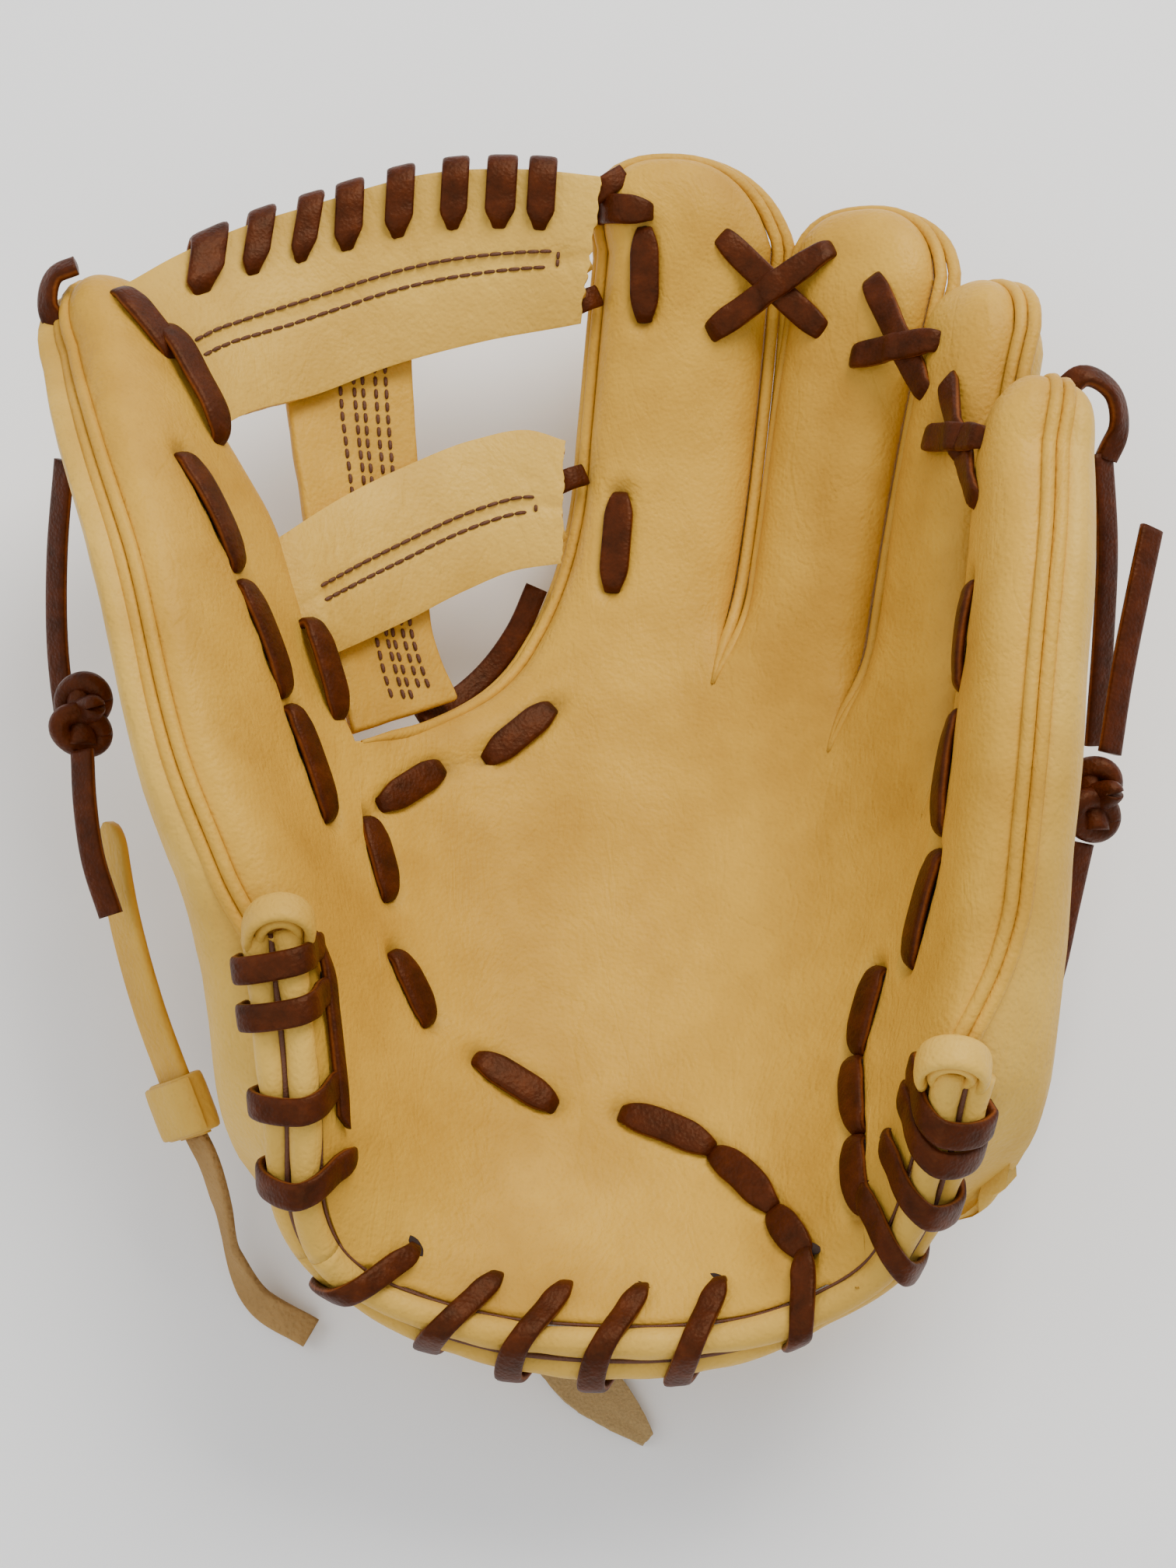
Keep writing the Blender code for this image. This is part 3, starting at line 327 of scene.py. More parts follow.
class Stall:
    """A finger stall, or the strip of palm that leads up to it."""

    def __init__(self, left, right, forks, shoulder, tip, tip_girth, outer=None, bulge=0.0):
        self.left, self.right, self.bulge = left, right, bulge
        self.forks, self.outer = forks, outer
        self.shoulder, self.tip, self.tip_girth = shoulder, tip, tip_girth

    def rows(self, first, step=3.0):
        stations = set(np.arange(first, self.shoulder, step).round(2))
        stations |= {float(fork) for fork in FORKS if fork > first}
        stations = [y for y in sorted(stations) if y < self.shoulder - 0.5]
        turns = [0, 8, 16, 24, 32, 40, 48, 56, 63, 70, 76, 81, 84.5]
        return [(y, 0) for y in stations] + [(self.shoulder, t) for t in turns]

    def seam(self, side, y):
        return ease((y - self.forks[side]) / (RIM_RISE if side == self.outer else SEAM_RISE))

    def at(self, share, y, turn, inset=0.0):
        close, reach = superellipse(math.radians(turn))
        left, right = float(self.left(y)) + inset, float(self.right(y)) - inset
        centre = (left + right) / 2
        centre += (self.tip_girth - centre) * reach if turn else 0
        return centre + (right - left) / 2 * share * close, y + (self.tip - y) * (reach if turn else 0)

    def height(self, g, y):
        base = min(y, self.shoulder)
        left, right = float(self.left(base)), float(self.right(base))
        reach = np.clip((y - self.shoulder) / (self.tip - self.shoulder), 0, 0.98)
        close = (1 - reach ** ROUNDNESS) ** (1 / ROUNDNESS)
        centre = (left + right) / 2
        centre += (self.tip_girth - centre) * reach
        share = np.clip(2 * (g - centre) / (right - left) / close, -1, 1)
        cosine = (1 - abs(share) ** ROUNDNESS) ** (1 / ROUNDNESS)
        return -EDGE_DEPTH * self.seam(0 if share < 0 else 1, base) * (1 - cosine * close)

    def face(self, rows, columns, relief, back=False, inset=0.0):
        grid = []
        for y, turn in rows:
            close = superellipse(math.radians(turn))[0]
            row = []
            for angle in np.linspace(-90, 90, columns):
                cosine, share = superellipse(math.radians(angle))
                g, station = self.at(share, y, turn, inset)
                side = 0 if share < 0 else 1
                full = self.seam(side, y)
                if back:
                    deep = back_depth(g, station)
                    border = deep + (BACK_EDGE_DEPTH - deep) * full
                    if side == self.outer:
                        heel = 1 - ease((station + 75) / 75)
                        border = (BACK_EDGE_DEPTH + RIM_DROP * (1 - full)) * (1 - heel) + HEEL_BORDER * heel
                        cosine = cosine ** (1 + HEEL_TAPER[side] * heel)
                        fade = LEAST_BULGE + (1 - LEAST_BULGE) * ease((station + 62) / 90)
                        g += self.bulge * fade * (2 * side - 1) * 4 * cosine * (1 - cosine) * close
                    n = -(border + (deep - border) * cosine * close)
                else:
                    n = -EDGE_DEPTH * full * (1 - cosine * close)
                if self.outer is None:
                    station = heel_station(g, station)
                row.append((g, station, n + relief(g, station)))
            grid.append(row)
        return np.array(grid)


INDEX = Stall(forked(THUMB_FOLD, WEB_CURVE), forked(INDEX_FORK, INDEX_RIGHT), (13, 34), 141, 162, 19.5)
MIDDLE = Stall(forked(INDEX_FORK, MIDDLE_LEFT), forked(RING_FORK, MIDDLE_RIGHT), (34, 13), 127, 148, 65)
RING = Stall(forked(RING_FORK, RING_LEFT), forked(PINKY_FOLD, RING_RIGHT), (13, -13), 103, 121, 94)
THUMB = Stall(pattern(THUMB_OUTER), forked(THUMB_FOLD, WEB_EDGE), (-70, 13), 104, 124, -116, outer=0, bulge=6)
PINKY = Stall(forked(PINKY_FOLD, PINKY_LEFT), pattern(PINKY_OUTER), (-13, -80), 64, 83, 124, outer=1, bulge=3)

STALLS = (("index", INDEX, "palm"), ("middle", MIDDLE, "palm"), ("ring", RING, "palm"),
          ("thumb", THUMB, "thumb"), ("pinky", PINKY, "pinky"))

# ---- lace runs: girth and station of the holes between which each run shows ----
PALM_RUNS = (
    ((-51.5, 0), (-36, 12)), ((-24, 15.8), (-9, 29.5)),
    ((-56, -5), (-50, -23)), ((-48.5, -37), (-38.5, -51.5)), ((-25.5, -59), (-8, -69)),
    ((8, -71), (18.5, -75), (27.3, -79.3)), ((28.3, -80.8), (35, -86.5), (41, -93.6)),
    ((41.7, -95), (45, -100), (48.3, -105)),
)
CHAIN_RUNS = (((72.7, -42.7), (65.5, -60.5)), ((64.6, -62.5), (65.5, -79)), ((65.2, -81), (63.8, -97)))
INDEX_RUNS = (((14, 145), (14, 125)), ((8, 83), (6, 60)))
THUMB_RUNS = (((-110.4, 69.7), (-97.9, 45.2)), ((-96.8, 41.7), (-83, 19)), ((-81, 16), (-68.6, -7.6)))
PINKY_RUNS = (((117, 36), (110, 14)), ((108, 9), (100.5, -17)), ((99.5, -22), (85, -44)))
TOP_WRAPS = (-96, -83, -71, -59.5, -47, -33.5, -22, -12)


# ---- materials ----
WHITE, DARK = (1, 1, 1), (0, 0, 0)


def nodes_of(name):
    mat = bpy.data.materials.new(name)
    mat.use_nodes = True
    tree = mat.node_tree
    return mat, tree, tree.nodes["Principled BSDF"]


def node(tree, kind, inputs=None, **settings):
    made = tree.nodes.new(kind)
    for key, value in settings.items():
        setattr(made, key, value)
    for key, value in (inputs or {}).items():
        if hasattr(value, "is_linked"):
            tree.links.new(value, made.inputs[key])
        else:
            made.inputs[key].default_value = value
    return made


def ramp(tree, value, stops, interpolation="LINEAR"):
    made = node(tree, "ShaderNodeValToRGB", {"Fac": value})
    made.color_ramp.interpolation = interpolation
    while len(made.color_ramp.elements) < len(stops):
        made.color_ramp.elements.new(0.5)
    for element, (at, color) in zip(made.color_ramp.elements, stops):
        element.position = at
        element.color = (*color, 1)
    return made.outputs["Color"]


def mix(tree, factor, a, b, blend="MIX"):
    made = node(tree, "ShaderNodeMix", {}, data_type="RGBA", blend_type=blend)
    for socket, value in ((made.inputs[0], factor), (made.inputs[6], a), (made.inputs[7], b)):
        if hasattr(value, "is_linked"):
            tree.links.new(value, socket)
        else:
            socket.default_value = value if not isinstance(value, tuple) else (*value, 1)
    return made.outputs[2]


def clouds(tree, at, scale, detail=4.0, **more):
    """A noise texture; more inputs by name."""
    made = node(tree, "ShaderNodeTexNoise", {"Vector": at, "Scale": scale, "Detail": detail, **more})
    return made.outputs["Fac"]


def cells(tree, at, scale, **settings):
    return node(tree, "ShaderNodeTexVoronoi", {"Vector": at, "Scale": scale}, **settings).outputs["Distance"]


def finish(tree, shader, color, bumps, roughness, specular=0.5, tint=(1.0, 1.0, 1.0)):
    """Sets the colour, the stacked bumps of (height, strength, depth in metres) and the gloss."""
    tree.links.new(color, shader.inputs["Base Color"])
    below = {}
    for height, strength, depth in bumps:
        bump = node(tree, "ShaderNodeBump",
                    {"Height": height, "Strength": strength, "Distance": depth, **below})
        below = {"Normal": bump.outputs["Normal"]}
    tree.links.new(below["Normal"], shader.inputs["Normal"])
    if hasattr(roughness, "is_linked"):
        tree.links.new(roughness, shader.inputs["Roughness"])
    else:
        shader.inputs["Roughness"].default_value = roughness
    shader.inputs["Specular IOR Level"].default_value = specular
    shader.inputs["Specular Tint"].default_value = (*tint, 1)


def leather(name, light, dark, deep, roughness=0.5, grain=1.0, crease=1.0):
    """Full grain leather: cloudy colour, pores, fine grain, soft creases, and painted shade beside lace holes."""
    mat, tree, shader = nodes_of(name)
    at = node(tree, "ShaderNodeTexCoord").outputs["Object"]
    cloud = clouds(tree, at, 22.0, Roughness=0.6)
    color = ramp(tree, cloud, ((0.30, dark), (0.62, light)))
    pore = ramp(tree, cells(tree, at, 620.0), ((0.05, (0.80, 0.80, 0.80)), (0.34, WHITE)))
    color = mix(tree, 0.35, color, pore, "MULTIPLY")
    # painted shade: the shade attribute pulls the colour towards deep, a shadow colour, beside lace holes
    shade = node(tree, "ShaderNodeAttribute", attribute_name="shade").outputs["Fac"]
    color = mix(tree, shade, color, deep)
    fine = cells(tree, at, 950.0, feature="SMOOTH_F1")
    mottled = clouds(tree, at, 1500.0, 3.0)
    warp = node(tree, "ShaderNodeMapping", {"Vector": at, "Scale": (1.0, 0.45, 1.0)}).outputs["Vector"]
    folds = clouds(tree, warp, 55.0, 5.0, Roughness=0.55, Distortion=1.2)
    lines = ramp(tree, folds, ((0.455, WHITE), (0.5, DARK), (0.545, WHITE)), "EASE")
    gloss = ramp(tree, cloud, ((0.3, (roughness + 0.07,) * 3), (0.7, (roughness - 0.05,) * 3)))
    bumps = ((fine, 0.5 * grain, 0.00035), (mottled, 0.3 * grain, 0.0003), (lines, 0.16 * crease, 0.0007))
    finish(tree, shader, color, bumps, gloss, 0.30, (1.0, 0.80, 0.50))
    return mat


def lace_leather(name):
    """Waxed lace: dark red brown faces, paler raw edges, a mottled surface."""
    mat, tree, shader = nodes_of(name)
    at = node(tree, "ShaderNodeTexCoord").outputs["Object"]
    cloud = clouds(tree, at, 160.0, 6.0, Roughness=0.7)
    face = ramp(tree, cloud, ((0.32, (0.026, 0.0042, 0.0009)), (0.55, (0.056, 0.0095, 0.0018)),
                              (0.75, (0.092, 0.018, 0.0032))))
    edge = node(tree, "ShaderNodeAttribute", attribute_name="edge").outputs["Fac"]
    raw = ramp(tree, cloud, ((0.3, (0.11, 0.026, 0.005)), (0.7, (0.20, 0.055, 0.011))))
    color = mix(tree, ramp(tree, edge, ((0.80, DARK), (0.97, WHITE))), face, raw)
    bumps = ((cells(tree, at, 1100.0), 0.35, 0.0003), (cloud, 0.45, 0.0008))
    finish(tree, shader, color, bumps, 0.46, 0.28, (1.0, 0.55, 0.30))
    return mat


def plain(name, color, roughness, metallic=0.0, scale=900.0, strength=0.2):
    mat, tree, shader = nodes_of(name)
    cloud = clouds(tree, node(tree, "ShaderNodeTexCoord").outputs["Object"], scale)
    color = ramp(tree, cloud, ((0.3, tuple(c * 0.75 for c in color)), (0.7, color)))
    finish(tree, shader, color, ((cloud, strength, 0.0006),), roughness)
    shader.inputs["Metallic"].default_value = metallic
    return mat


# the third colour of each leather is the painted shade drawn beside lace holes
TAN = leather("tan_leather", (0.645, 0.360, 0.043), (0.46, 0.230, 0.023), (0.09, 0.028, 0.006))
PALE = leather("pale_leather", (0.69, 0.418, 0.070), (0.53, 0.297, 0.041), (0.10, 0.035, 0.008), crease=0.9)
RAW = leather("raw_edge", (0.40, 0.235, 0.085), (0.27, 0.15, 0.05), (0.20, 0.10, 0.04), 0.85, grain=2.5)
LACE = lace_leather("brown_lace")
THREAD = plain("thread", (0.12, 0.035, 0.009), 0.6, scale=2500.0, strength=0.5)
# painted shade: near-black finish of the lens meshes that stand in for the shadow inside lace holes
HOLE_SHADE = plain("hole", (0.030, 0.012, 0.006), 0.9)
FELT = plain("felt", (0.56, 0.40, 0.19), 0.95, scale=1400.0, strength=0.9)
FLEECE = plain("fleece", (0.62, 0.60, 0.56), 0.95, scale=700.0, strength=1.0)
SUEDE = plain("suede", (0.46, 0.30, 0.12), 0.9, scale=1600.0, strength=0.6)
BLACK = plain("black_plastic", (0.018, 0.018, 0.018), 0.35, strength=0.05)
STEEL = plain("steel", (0.62, 0.63, 0.65), 0.28, metallic=1.0, strength=0.05)


# ---- mesh tools ----
def to_mesh(name, verts, faces, mat, attributes):
    mesh = bpy.data.meshes.new(name)
    mesh.from_pydata([tuple(map(float, v)) for v in verts], [], faces)
    mesh.materials.append(mat)
    mesh.polygons.foreach_set("use_smooth", [True] * len(mesh.polygons))
    for key, values in attributes.items():
        mesh.attributes.new(key, "FLOAT", "POINT").data.foreach_set("value", np.asarray(values, np.float32))
    mesh.update()
    return add(name, mesh)


def grid_faces(rows, columns, start=0, wrap=False):
    faces = []
    for i in range(rows - 1):
        for j in range(columns if wrap else columns - 1):
            k = (j + 1) % columns
            a, b = start + i * columns + j, start + i * columns + k
            faces.append((a, b, b + columns, a + columns))
    return faces


def apply_all(obj):
    graph = bpy.context.evaluated_depsgraph_get()
    mesh = bpy.data.meshes.new_from_object(obj.evaluated_get(graph), depsgraph=graph)
    obj.modifiers.clear()
    obj.data = mesh
    return obj


def solid(obj, thick, round_edge=0.7, offset=-1.0):
    """Thickens a sheet away from its face and rounds its cut edge."""
    mod = obj.modifiers.new("Thick", "SOLIDIFY")
    mod.thickness = thick * MM
    mod.offset = offset
    if round_edge:
        bevel = obj.modifiers.new("Edge", "BEVEL")
        bevel.width = round_edge * MM
        bevel.segments = 2
        bevel.limit_method = "ANGLE"
        bevel.angle_limit = math.radians(55)
    return apply_all(obj)


def sheet_mesh(name, points, mat, flip=False, shade=None):
    rows, columns = points.shape[:2]
    faces = grid_faces(rows, columns)
    if flip:
        faces = [f[::-1] for f in faces]
    attributes = {"shade": shade.ravel() if shade is not None else np.zeros(rows * columns)}
    return to_mesh(name, points.reshape(-1, 3), faces, mat, attributes)


def reach_of(points):
    """How far along a path each of its points lies."""
    return np.concatenate([[0], np.cumsum(np.linalg.norm(np.diff(points, axis=0), axis=1))])


def smooth_path(points, count):
    """Evenly spaced points of a smooth curve through the given ones."""
    points = np.array(points, float)
    reach = reach_of(points)
    fine = np.linspace(0, reach[-1], 40 * len(points))
    dense = np.stack([line(tuple(zip(reach, points[:, k])), fine) for k in range(points.shape[1])], -1)
    reach = reach_of(dense)
    even = np.linspace(0, reach[-1], count)
    return np.stack([np.interp(even, reach, dense[:, k]) for k in range(points.shape[1])], -1)


def metres(points, count):
    """A smooth path through points of the design, in metres in the glove's frame."""
    return (smooth_path(points, count) - ORIGIN) * MM


def around(count):
    return np.linspace(0, 2 * np.pi, count, endpoint=False)


def unit(v):
    v = np.asarray(v, float)
    return v / np.maximum(np.linalg.norm(v, axis=-1, keepdims=True), 1e-12)


class Pile:
    """Several solids gathered into one mesh."""

    def __init__(self):
        self.verts, self.faces, self.edge = [], [], []

    def loft(self, rings, edge):
        count, size = rings.shape[:2]
        start = sum(len(v) for v in self.verts)
        self.verts.append(rings.reshape(-1, 3))
        self.faces += grid_faces(count, size, start, wrap=True)
        last = start + (count - 1) * size
        self.faces += [tuple(range(start, start + size))[::-1], tuple(range(last, last + size))]
        self.edge.append(np.tile(edge, count))
        return self

    def ribbon(self, path, sides, width, thick, sides_count=14, boxy=0.45):
        """A flat lace with rounded edges; width and thick may change along it."""
        path, sides = np.asarray(path, float), unit(sides)
        ahead = unit(np.gradient(path, axis=0))
        normal = unit(np.cross(sides, ahead))
        width = np.broadcast_to(np.asarray(width, float), (len(path),)) * MM / 2
        thick = np.broadcast_to(np.asarray(thick, float), (len(path),)) * MM / 2
        turn = around(sides_count)
        c, s = power(np.cos(turn), boxy), power(np.sin(turn), boxy + 0.15)
        rings = (path[:, None] + sides[:, None] * (c[None, :, None] * width[:, None, None])
                 + normal[:, None] * (s[None, :, None] * thick[:, None, None]))
        return self.loft(rings, np.abs(c) ** 3 * (1 - 0.25 * np.abs(s)))

    def tube(self, path, radius, sides_count=12):
        path = np.asarray(path, float)
        ahead = unit(np.gradient(path, axis=0))
        side = np.zeros_like(ahead)
        seed = np.array([0.0, 0.0, 1.0]) if abs(ahead[0][2]) < 0.9 else np.array([1.0, 0, 0])
        side[0] = unit(np.cross(ahead[0], seed))
        for i in range(1, len(path)):
            side[i] = unit(side[i - 1] - ahead[i] * (side[i - 1] @ ahead[i]))
        up = np.cross(side, ahead)
        turn = around(sides_count)
        radius = np.broadcast_to(np.asarray(radius, float), (len(path),)) * MM
        rings = (path[:, None] + side[:, None] * (np.cos(turn)[None, :, None] * radius[:, None, None])
                 + up[:, None] * (np.sin(turn)[None, :, None] * radius[:, None, None]))
        return self.loft(rings, np.zeros(sides_count))

    def done(self, name, mat):
        verts = np.concatenate(self.verts)
        return to_mesh(name, verts, self.faces, mat,
                       {"edge": np.concatenate(self.edge), "shade": np.zeros(len(verts))})


# ---- where the leather is pressed in ----
def relief_for(runs, extra_holes, ripple=0.35):
    """Height change of the leather: pressed under each lace, dimpled at each hole."""
    segments = [(np.array(a, float), np.array(b, float)) for run in runs for a, b in zip(run[:-1], run[1:])]
    holes = np.array([p for run in runs for p in (run[0], run[-1])] + list(extra_holes), float)

    def relief(g, y):
        at = np.array([g, y], float)
        change = 0.0
        for a, b in segments:
            t = np.clip((at - a) @ (b - a) / ((b - a) @ (b - a)), 0, 1)
            away = np.linalg.norm(at - a - (b - a) * t)
            if away < 16:
                change = min(change, -1.3 * math.exp(-(away / 3.3) ** 4))
                change += 0.22 * math.exp(-((away - 6.2) / 2.2) ** 2)
        if len(holes):
            away = np.linalg.norm(holes - at, axis=1).min()
            change -= 0.5 * math.exp(-(away / 2.6) ** 2)
        return change + ripple * (wave(g / 17, y / 23, 3.1) + 0.45 * wave(g / 7, y / 10, 8.7))
    return relief


def shade_for(grid, runs):
    """Painted shade: how dark the leather is drawn beside each lace hole, where the hole's shadow falls."""
    holes = []
    for run in runs:
        for a, b in ((run[0], run[1]), (run[-1], run[-2])):
            a, b = np.array(a, float), np.array(b, float)
            holes.append(a + (a - b) / np.linalg.norm(a - b) * 0.8)
    away = np.linalg.norm(grid[..., None, :2] - np.array(holes), axis=-1).min(-1)
    return 0.55 * np.exp(-(away / 2.1) ** 2)


# ---- how the pieces follow the two folds ----
def fold_span(fold, fork, beyond, reach):
    """Start and end of a blend that begins on the outer side of a fold line."""
    stations = np.linspace(-105, fork, 20)
    points = place(line(fold, stations), stations, 0)
    start = points.mean(0)
    out = unit(place(line(fold, stations) + beyond, stations, 0).mean(0) - start)
    start = start + out * ((points - start) @ out).max()
    return tuple(start), tuple(start + out * reach)


THUMB_SPAN = fold_span(THUMB_FOLD, 13, -14, 0.016)
PINKY_SPAN = fold_span(PINKY_FOLD, -13, 12, 0.014)


def stand_for(obj, node_name, extra=False):
    """The piece replaces a CAD node, or only shares its slot."""
    if not extra:
        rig.replaces(obj, node_name)
    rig.slot(obj, node_name)


def ride(obj, body, node_name, extra=False):
    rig.ride(obj, body)
    stand_for(obj, node_name, extra)


def follow(obj, side, node_name, extra=False):
    """The piece goes with palm, thumb or pinky; on the last two it bends at their fold."""
    if side == "palm":
        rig.ride(obj, side)
    else:
        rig.blend(obj, "palm", side, *(THUMB_SPAN if side == "thumb" else PINKY_SPAN))
    stand_for(obj, node_name, extra)


# ---- leather shells ----
COLUMNS, JOIN_WITHIN = 39, 0.02


def surface(grid, flat=False):
    return place(*np.moveaxis(np.asarray(grid), -1, 0), flat)


def join(name, objects):
    bm = bmesh.new()
    for obj in objects:
        bm.from_mesh(obj.data)
    bmesh.ops.remove_doubles(bm, verts=bm.verts, dist=JOIN_WITHIN * MM)
    mesh = bpy.data.meshes.new(name)
    bm.to_mesh(mesh)
    bm.free()
    mesh.materials.append(objects[0].data.materials[0])
    mesh.polygons.foreach_set("use_smooth", [True] * len(mesh.polygons))
    for obj in objects:
        bpy.data.objects.remove(obj, do_unlink=True)
    return add(name, mesh)


CROSSINGS = {
    "index_middle": ((30.5, 121), (60, 137), (33, 143), (58, 118), INDEX, MIDDLE),
    "middle_ring": ((67, 109), (92.5, 104), (71, 127), (89.5, 93), MIDDLE, RING),
    "ring_pinky": ((93, 80), (119.5, 69), (98, 92.5), (118.5, 55), RING, PINKY),
}
CROSS_HOLES = [p for c in CROSSINGS.values() for p in c[:4]]


def build_palm():
    runs = PALM_RUNS + CHAIN_RUNS + INDEX_RUNS
    relief = relief_for(runs, CROSS_HOLES)
    strips = []
    for stall in (INDEX, MIDDLE, RING):
        grid = stall.face(stall.rows(-118, 1.6), COLUMNS, relief)
        strips.append(sheet_mesh("strip", surface(grid), TAN, shade=shade_for(grid, runs)))
    ride(solid(join("palm_leather", strips), LEATHER, 0), "palm", "palm_shell")
    for name, stall, runs in (("thumb", THUMB, THUMB_RUNS), ("pinky", PINKY, PINKY_RUNS)):
        relief = relief_for(runs, CROSS_HOLES)
        grid = stall.face(stall.rows(-108.5, 1.6), COLUMNS, relief)
        front = sheet_mesh(name + "_leather", surface(grid), TAN, shade=shade_for(grid, runs))
        follow(solid(front, LEATHER, 0), name, name + "_front")


def build_backs():
    relief = relief_for((), (), 0.5)
    for name, stall, side in STALLS:
        first = -13 if side == "palm" else -105
        grid = stall.face(stall.rows(first, 4), 19, relief, back=True, inset=0.2)
        back = sheet_mesh(name + "_back_leather", surface(grid, flat=True), PALE, flip=True)
        follow(solid(back, BACK_LEATHER, 0.5), side, name + "_back")


def build_gussets():
    """The walls of leather between the palm side and the back where two stalls part."""
    for name, side, right_of, left_of in (("thumb", "thumb", THUMB, INDEX), ("index", "palm", INDEX, MIDDLE),
                                          ("middle", "palm", MIDDLE, RING), ("pinky", "pinky", RING, PINKY)):
        fork = right_of.forks[1]
        grid = []
        for climb in np.concatenate([-np.linspace(33, 0, 23), np.linspace(1.5, 33, 22)]):
            stall, edge = (right_of, 1) if climb <= 0 else (left_of, 0)
            y = fork + abs(float(climb))
            g = float(stall.right(y)) - 0.9 if edge else float(stall.left(y)) + 0.9
            full = float(stall.seam(edge, y))
            deep = float(back_depth(g, y))
            front, rear = -EDGE_DEPTH * full - 0.6, -(deep + (BACK_EDGE_DEPTH - deep) * full) - 0.4
            grid.append([(g, y, front + (rear - front) * t) for t in np.linspace(0, 1, 11)])
        wall = solid(sheet_mesh(name + "_fork_wall", surface(grid, flat=True), PALE), 1.4, 0.4, 0.0)
        follow(wall, side, "palm_shell" if side == "palm" else side + "_front", extra=True)


def seam_route(stall, start, end, depth, outs):
    """Girth, station and height along a stall's seam: up its left, over its tip, down its right."""
    rows = stall.rows(-118)
    left = [row for row in rows if row[0] >= start]
    right = [row for row in rows if row[0] >= end][::-1]
    route = []
    for share, side in ((-1, left), (1, right)):
        for y, turn in side:
            fork = stall.forks[0 if share < 0 else 1]
            out = (outs[0] if share < 0 else outs[1]) * float(ease((y - fork + 4) / 26))
            if turn:
                out = (outs[0] + outs[1]) / 2 + (out - (outs[0] + outs[1]) / 2) * math.cos(math.radians(turn))
            g, station = stall.at(share, y, turn, out)
            route.append((g, station, -EDGE_DEPTH * stall.seam(0 if share < 0 else 1, y) + depth))
    route = np.array(route)
    keep = [0] + [i for i in range(1, len(route)) if np.linalg.norm(route[i] - route[i - 1]) > 0.4]
    return route[keep]


def build_welts():
    """The rolled seams: a rounded fold of leather on each side of a fine groove."""
    spans = ((14, 35), (35, 14), (14, -12), (-66, 14), (-12, -76))
    for (name, stall, side), (start, end) in zip(STALLS, spans):
        pile = Pile()
        for k, radius in enumerate((1.5, 1.6)):
            left = (-1.3, -2.2)[k] if name == "index" else (-0.3, -0.4)[k]
            right = (-1.5, -3.9)[k] if side == "palm" else (-0.4, -0.55)[k]
            depth = (-0.2, -2.2)[k] if side == "palm" else (-0.9, -3.9)[k]
            route = seam_route(stall, start, end, depth, (left, right))
            path = smooth_path(place(*route.T), len(route))
            ends = np.minimum(np.arange(len(path)), np.arange(len(path))[::-1])
            pile.tube(path, radius * (0.35 + 0.65 * ease(ends / 4)), 12)
        follow(pile.done(name + "_rolled_seam", TAN), side, name + "_welt")


# ---- laces ----
def run_arc(pile, run, height, lift=0.0, width=7.4, pinch=0.36):
    """One visible run of lace: out of a hole, over the leather and into the next."""
    run = np.array(run, float)
    flat = smooth_path(run, 33) if len(run) > 2 else np.linspace(run[0], run[1], 33)
    reach = reach_of(flat)
    length = reach[-1]
    top = 0.25 + lift
    swell = min(0.75, length / 40)
    section = ((0.3, -2.4), (0.0, -1.2), (1.0, top * 0.6 - 0.35), (3.6, top + 0.1), (length / 2, top + swell),
               (length - 3.6, top + 0.1), (length - 1.0, top * 0.6 - 0.35), (length, -1.2),
               (length - 0.3, -2.4))
    along = smooth_path(section, 49)
    g = np.interp(along[:, 0], reach, flat[:, 0])
    y = np.interp(along[:, 0], reach, flat[:, 1])
    base = np.array([height(a, b) for a, b in zip(g, y)])
    path = place(g, y, base + along[:, 1])
    heading = np.gradient(flat, axis=0)
    dg = np.interp(along[:, 0], reach, heading[:, 0])
    dy = np.interp(along[:, 0], reach, heading[:, 1])
    scale = 2 / np.hypot(dg, dy)
    lo_g, lo_y, hi_g, hi_y = g + dy * scale, y - dg * scale, g - dy * scale, y + dg * scale
    low_h = np.array([height(a, b) for a, b in zip(lo_g, lo_y)])
    high_h = np.array([height(a, b) for a, b in zip(hi_g, hi_y)])
    sides = place(hi_g, hi_y, high_h) - place(lo_g, lo_y, low_h)
    near = np.minimum(along[:, 0], length - along[:, 0])
    opened = np.sin(np.pi / 2 * np.clip((near + 0.8) / min(6.8, length / 2), 0, 1)) ** 0.7
    pile.ribbon(path, sides, width * (pinch + (1.0 - pinch) * opened), 2.3, 16)


def slit(pile, run, height):
    """The dark slit that a run of lace lies in: a thin lens along it, in the leather's face, painted dark as the shade
    inside the hole.
    """
    run = np.array(run, float)
    path = smooth_path(run, 25) if len(run) > 2 else np.linspace(run[0], run[1], 25)
    ahead = unit(np.gradient(path, axis=0))
    across = np.stack([-ahead[:, 1], ahead[:, 0]], 1)
    path = path + ahead * np.linspace(-1.1, 1.1, 25)[:, None]
    rings = []
    for k, t in enumerate(np.linspace(-0.985, 0.985, 25)):
        half = 4.2 * (1 - abs(t) ** 2.6) ** 0.62
        ring = []
        for turn in around(10):
            p = path[k] + across[k] * half * math.cos(turn)
            rise = 0.5 * math.sin(turn) * (1 - t * t) ** 0.5
            ring.append(place(p[0], p[1], height(p[0], p[1]) - 1.35 + rise))
        rings.append(ring)
    pile.loft(np.array(rings), np.zeros(10))


def hole_lens(pile, at, toward, height, long, wide):
    """A dark slit in the leather under a lace's end, painted dark as the shade inside the hole."""
    at, toward = np.array(at, float), np.array(toward, float)
    ahead = (toward - at) / np.linalg.norm(toward - at)
    at = at - ahead * 0.35
    across = np.array([-ahead[1], ahead[0]])
    rings = []
    for t in np.linspace(-0.98, 0.98, 9):
        c = at + across * (t * long / 2)
        half = wide / 2 * math.sqrt(1 - t * t)
        ring = []
        for turn in around(8):
            p = c + ahead * half * math.cos(turn)
            rise = 0.42 * math.sin(turn) * math.sqrt(1 - t * t)
            ring.append(place(p[0], p[1], height(c[0], c[1]) - 1.25 + rise))
        rings.append(ring)
    pile.loft(np.array(rings), np.zeros(8))


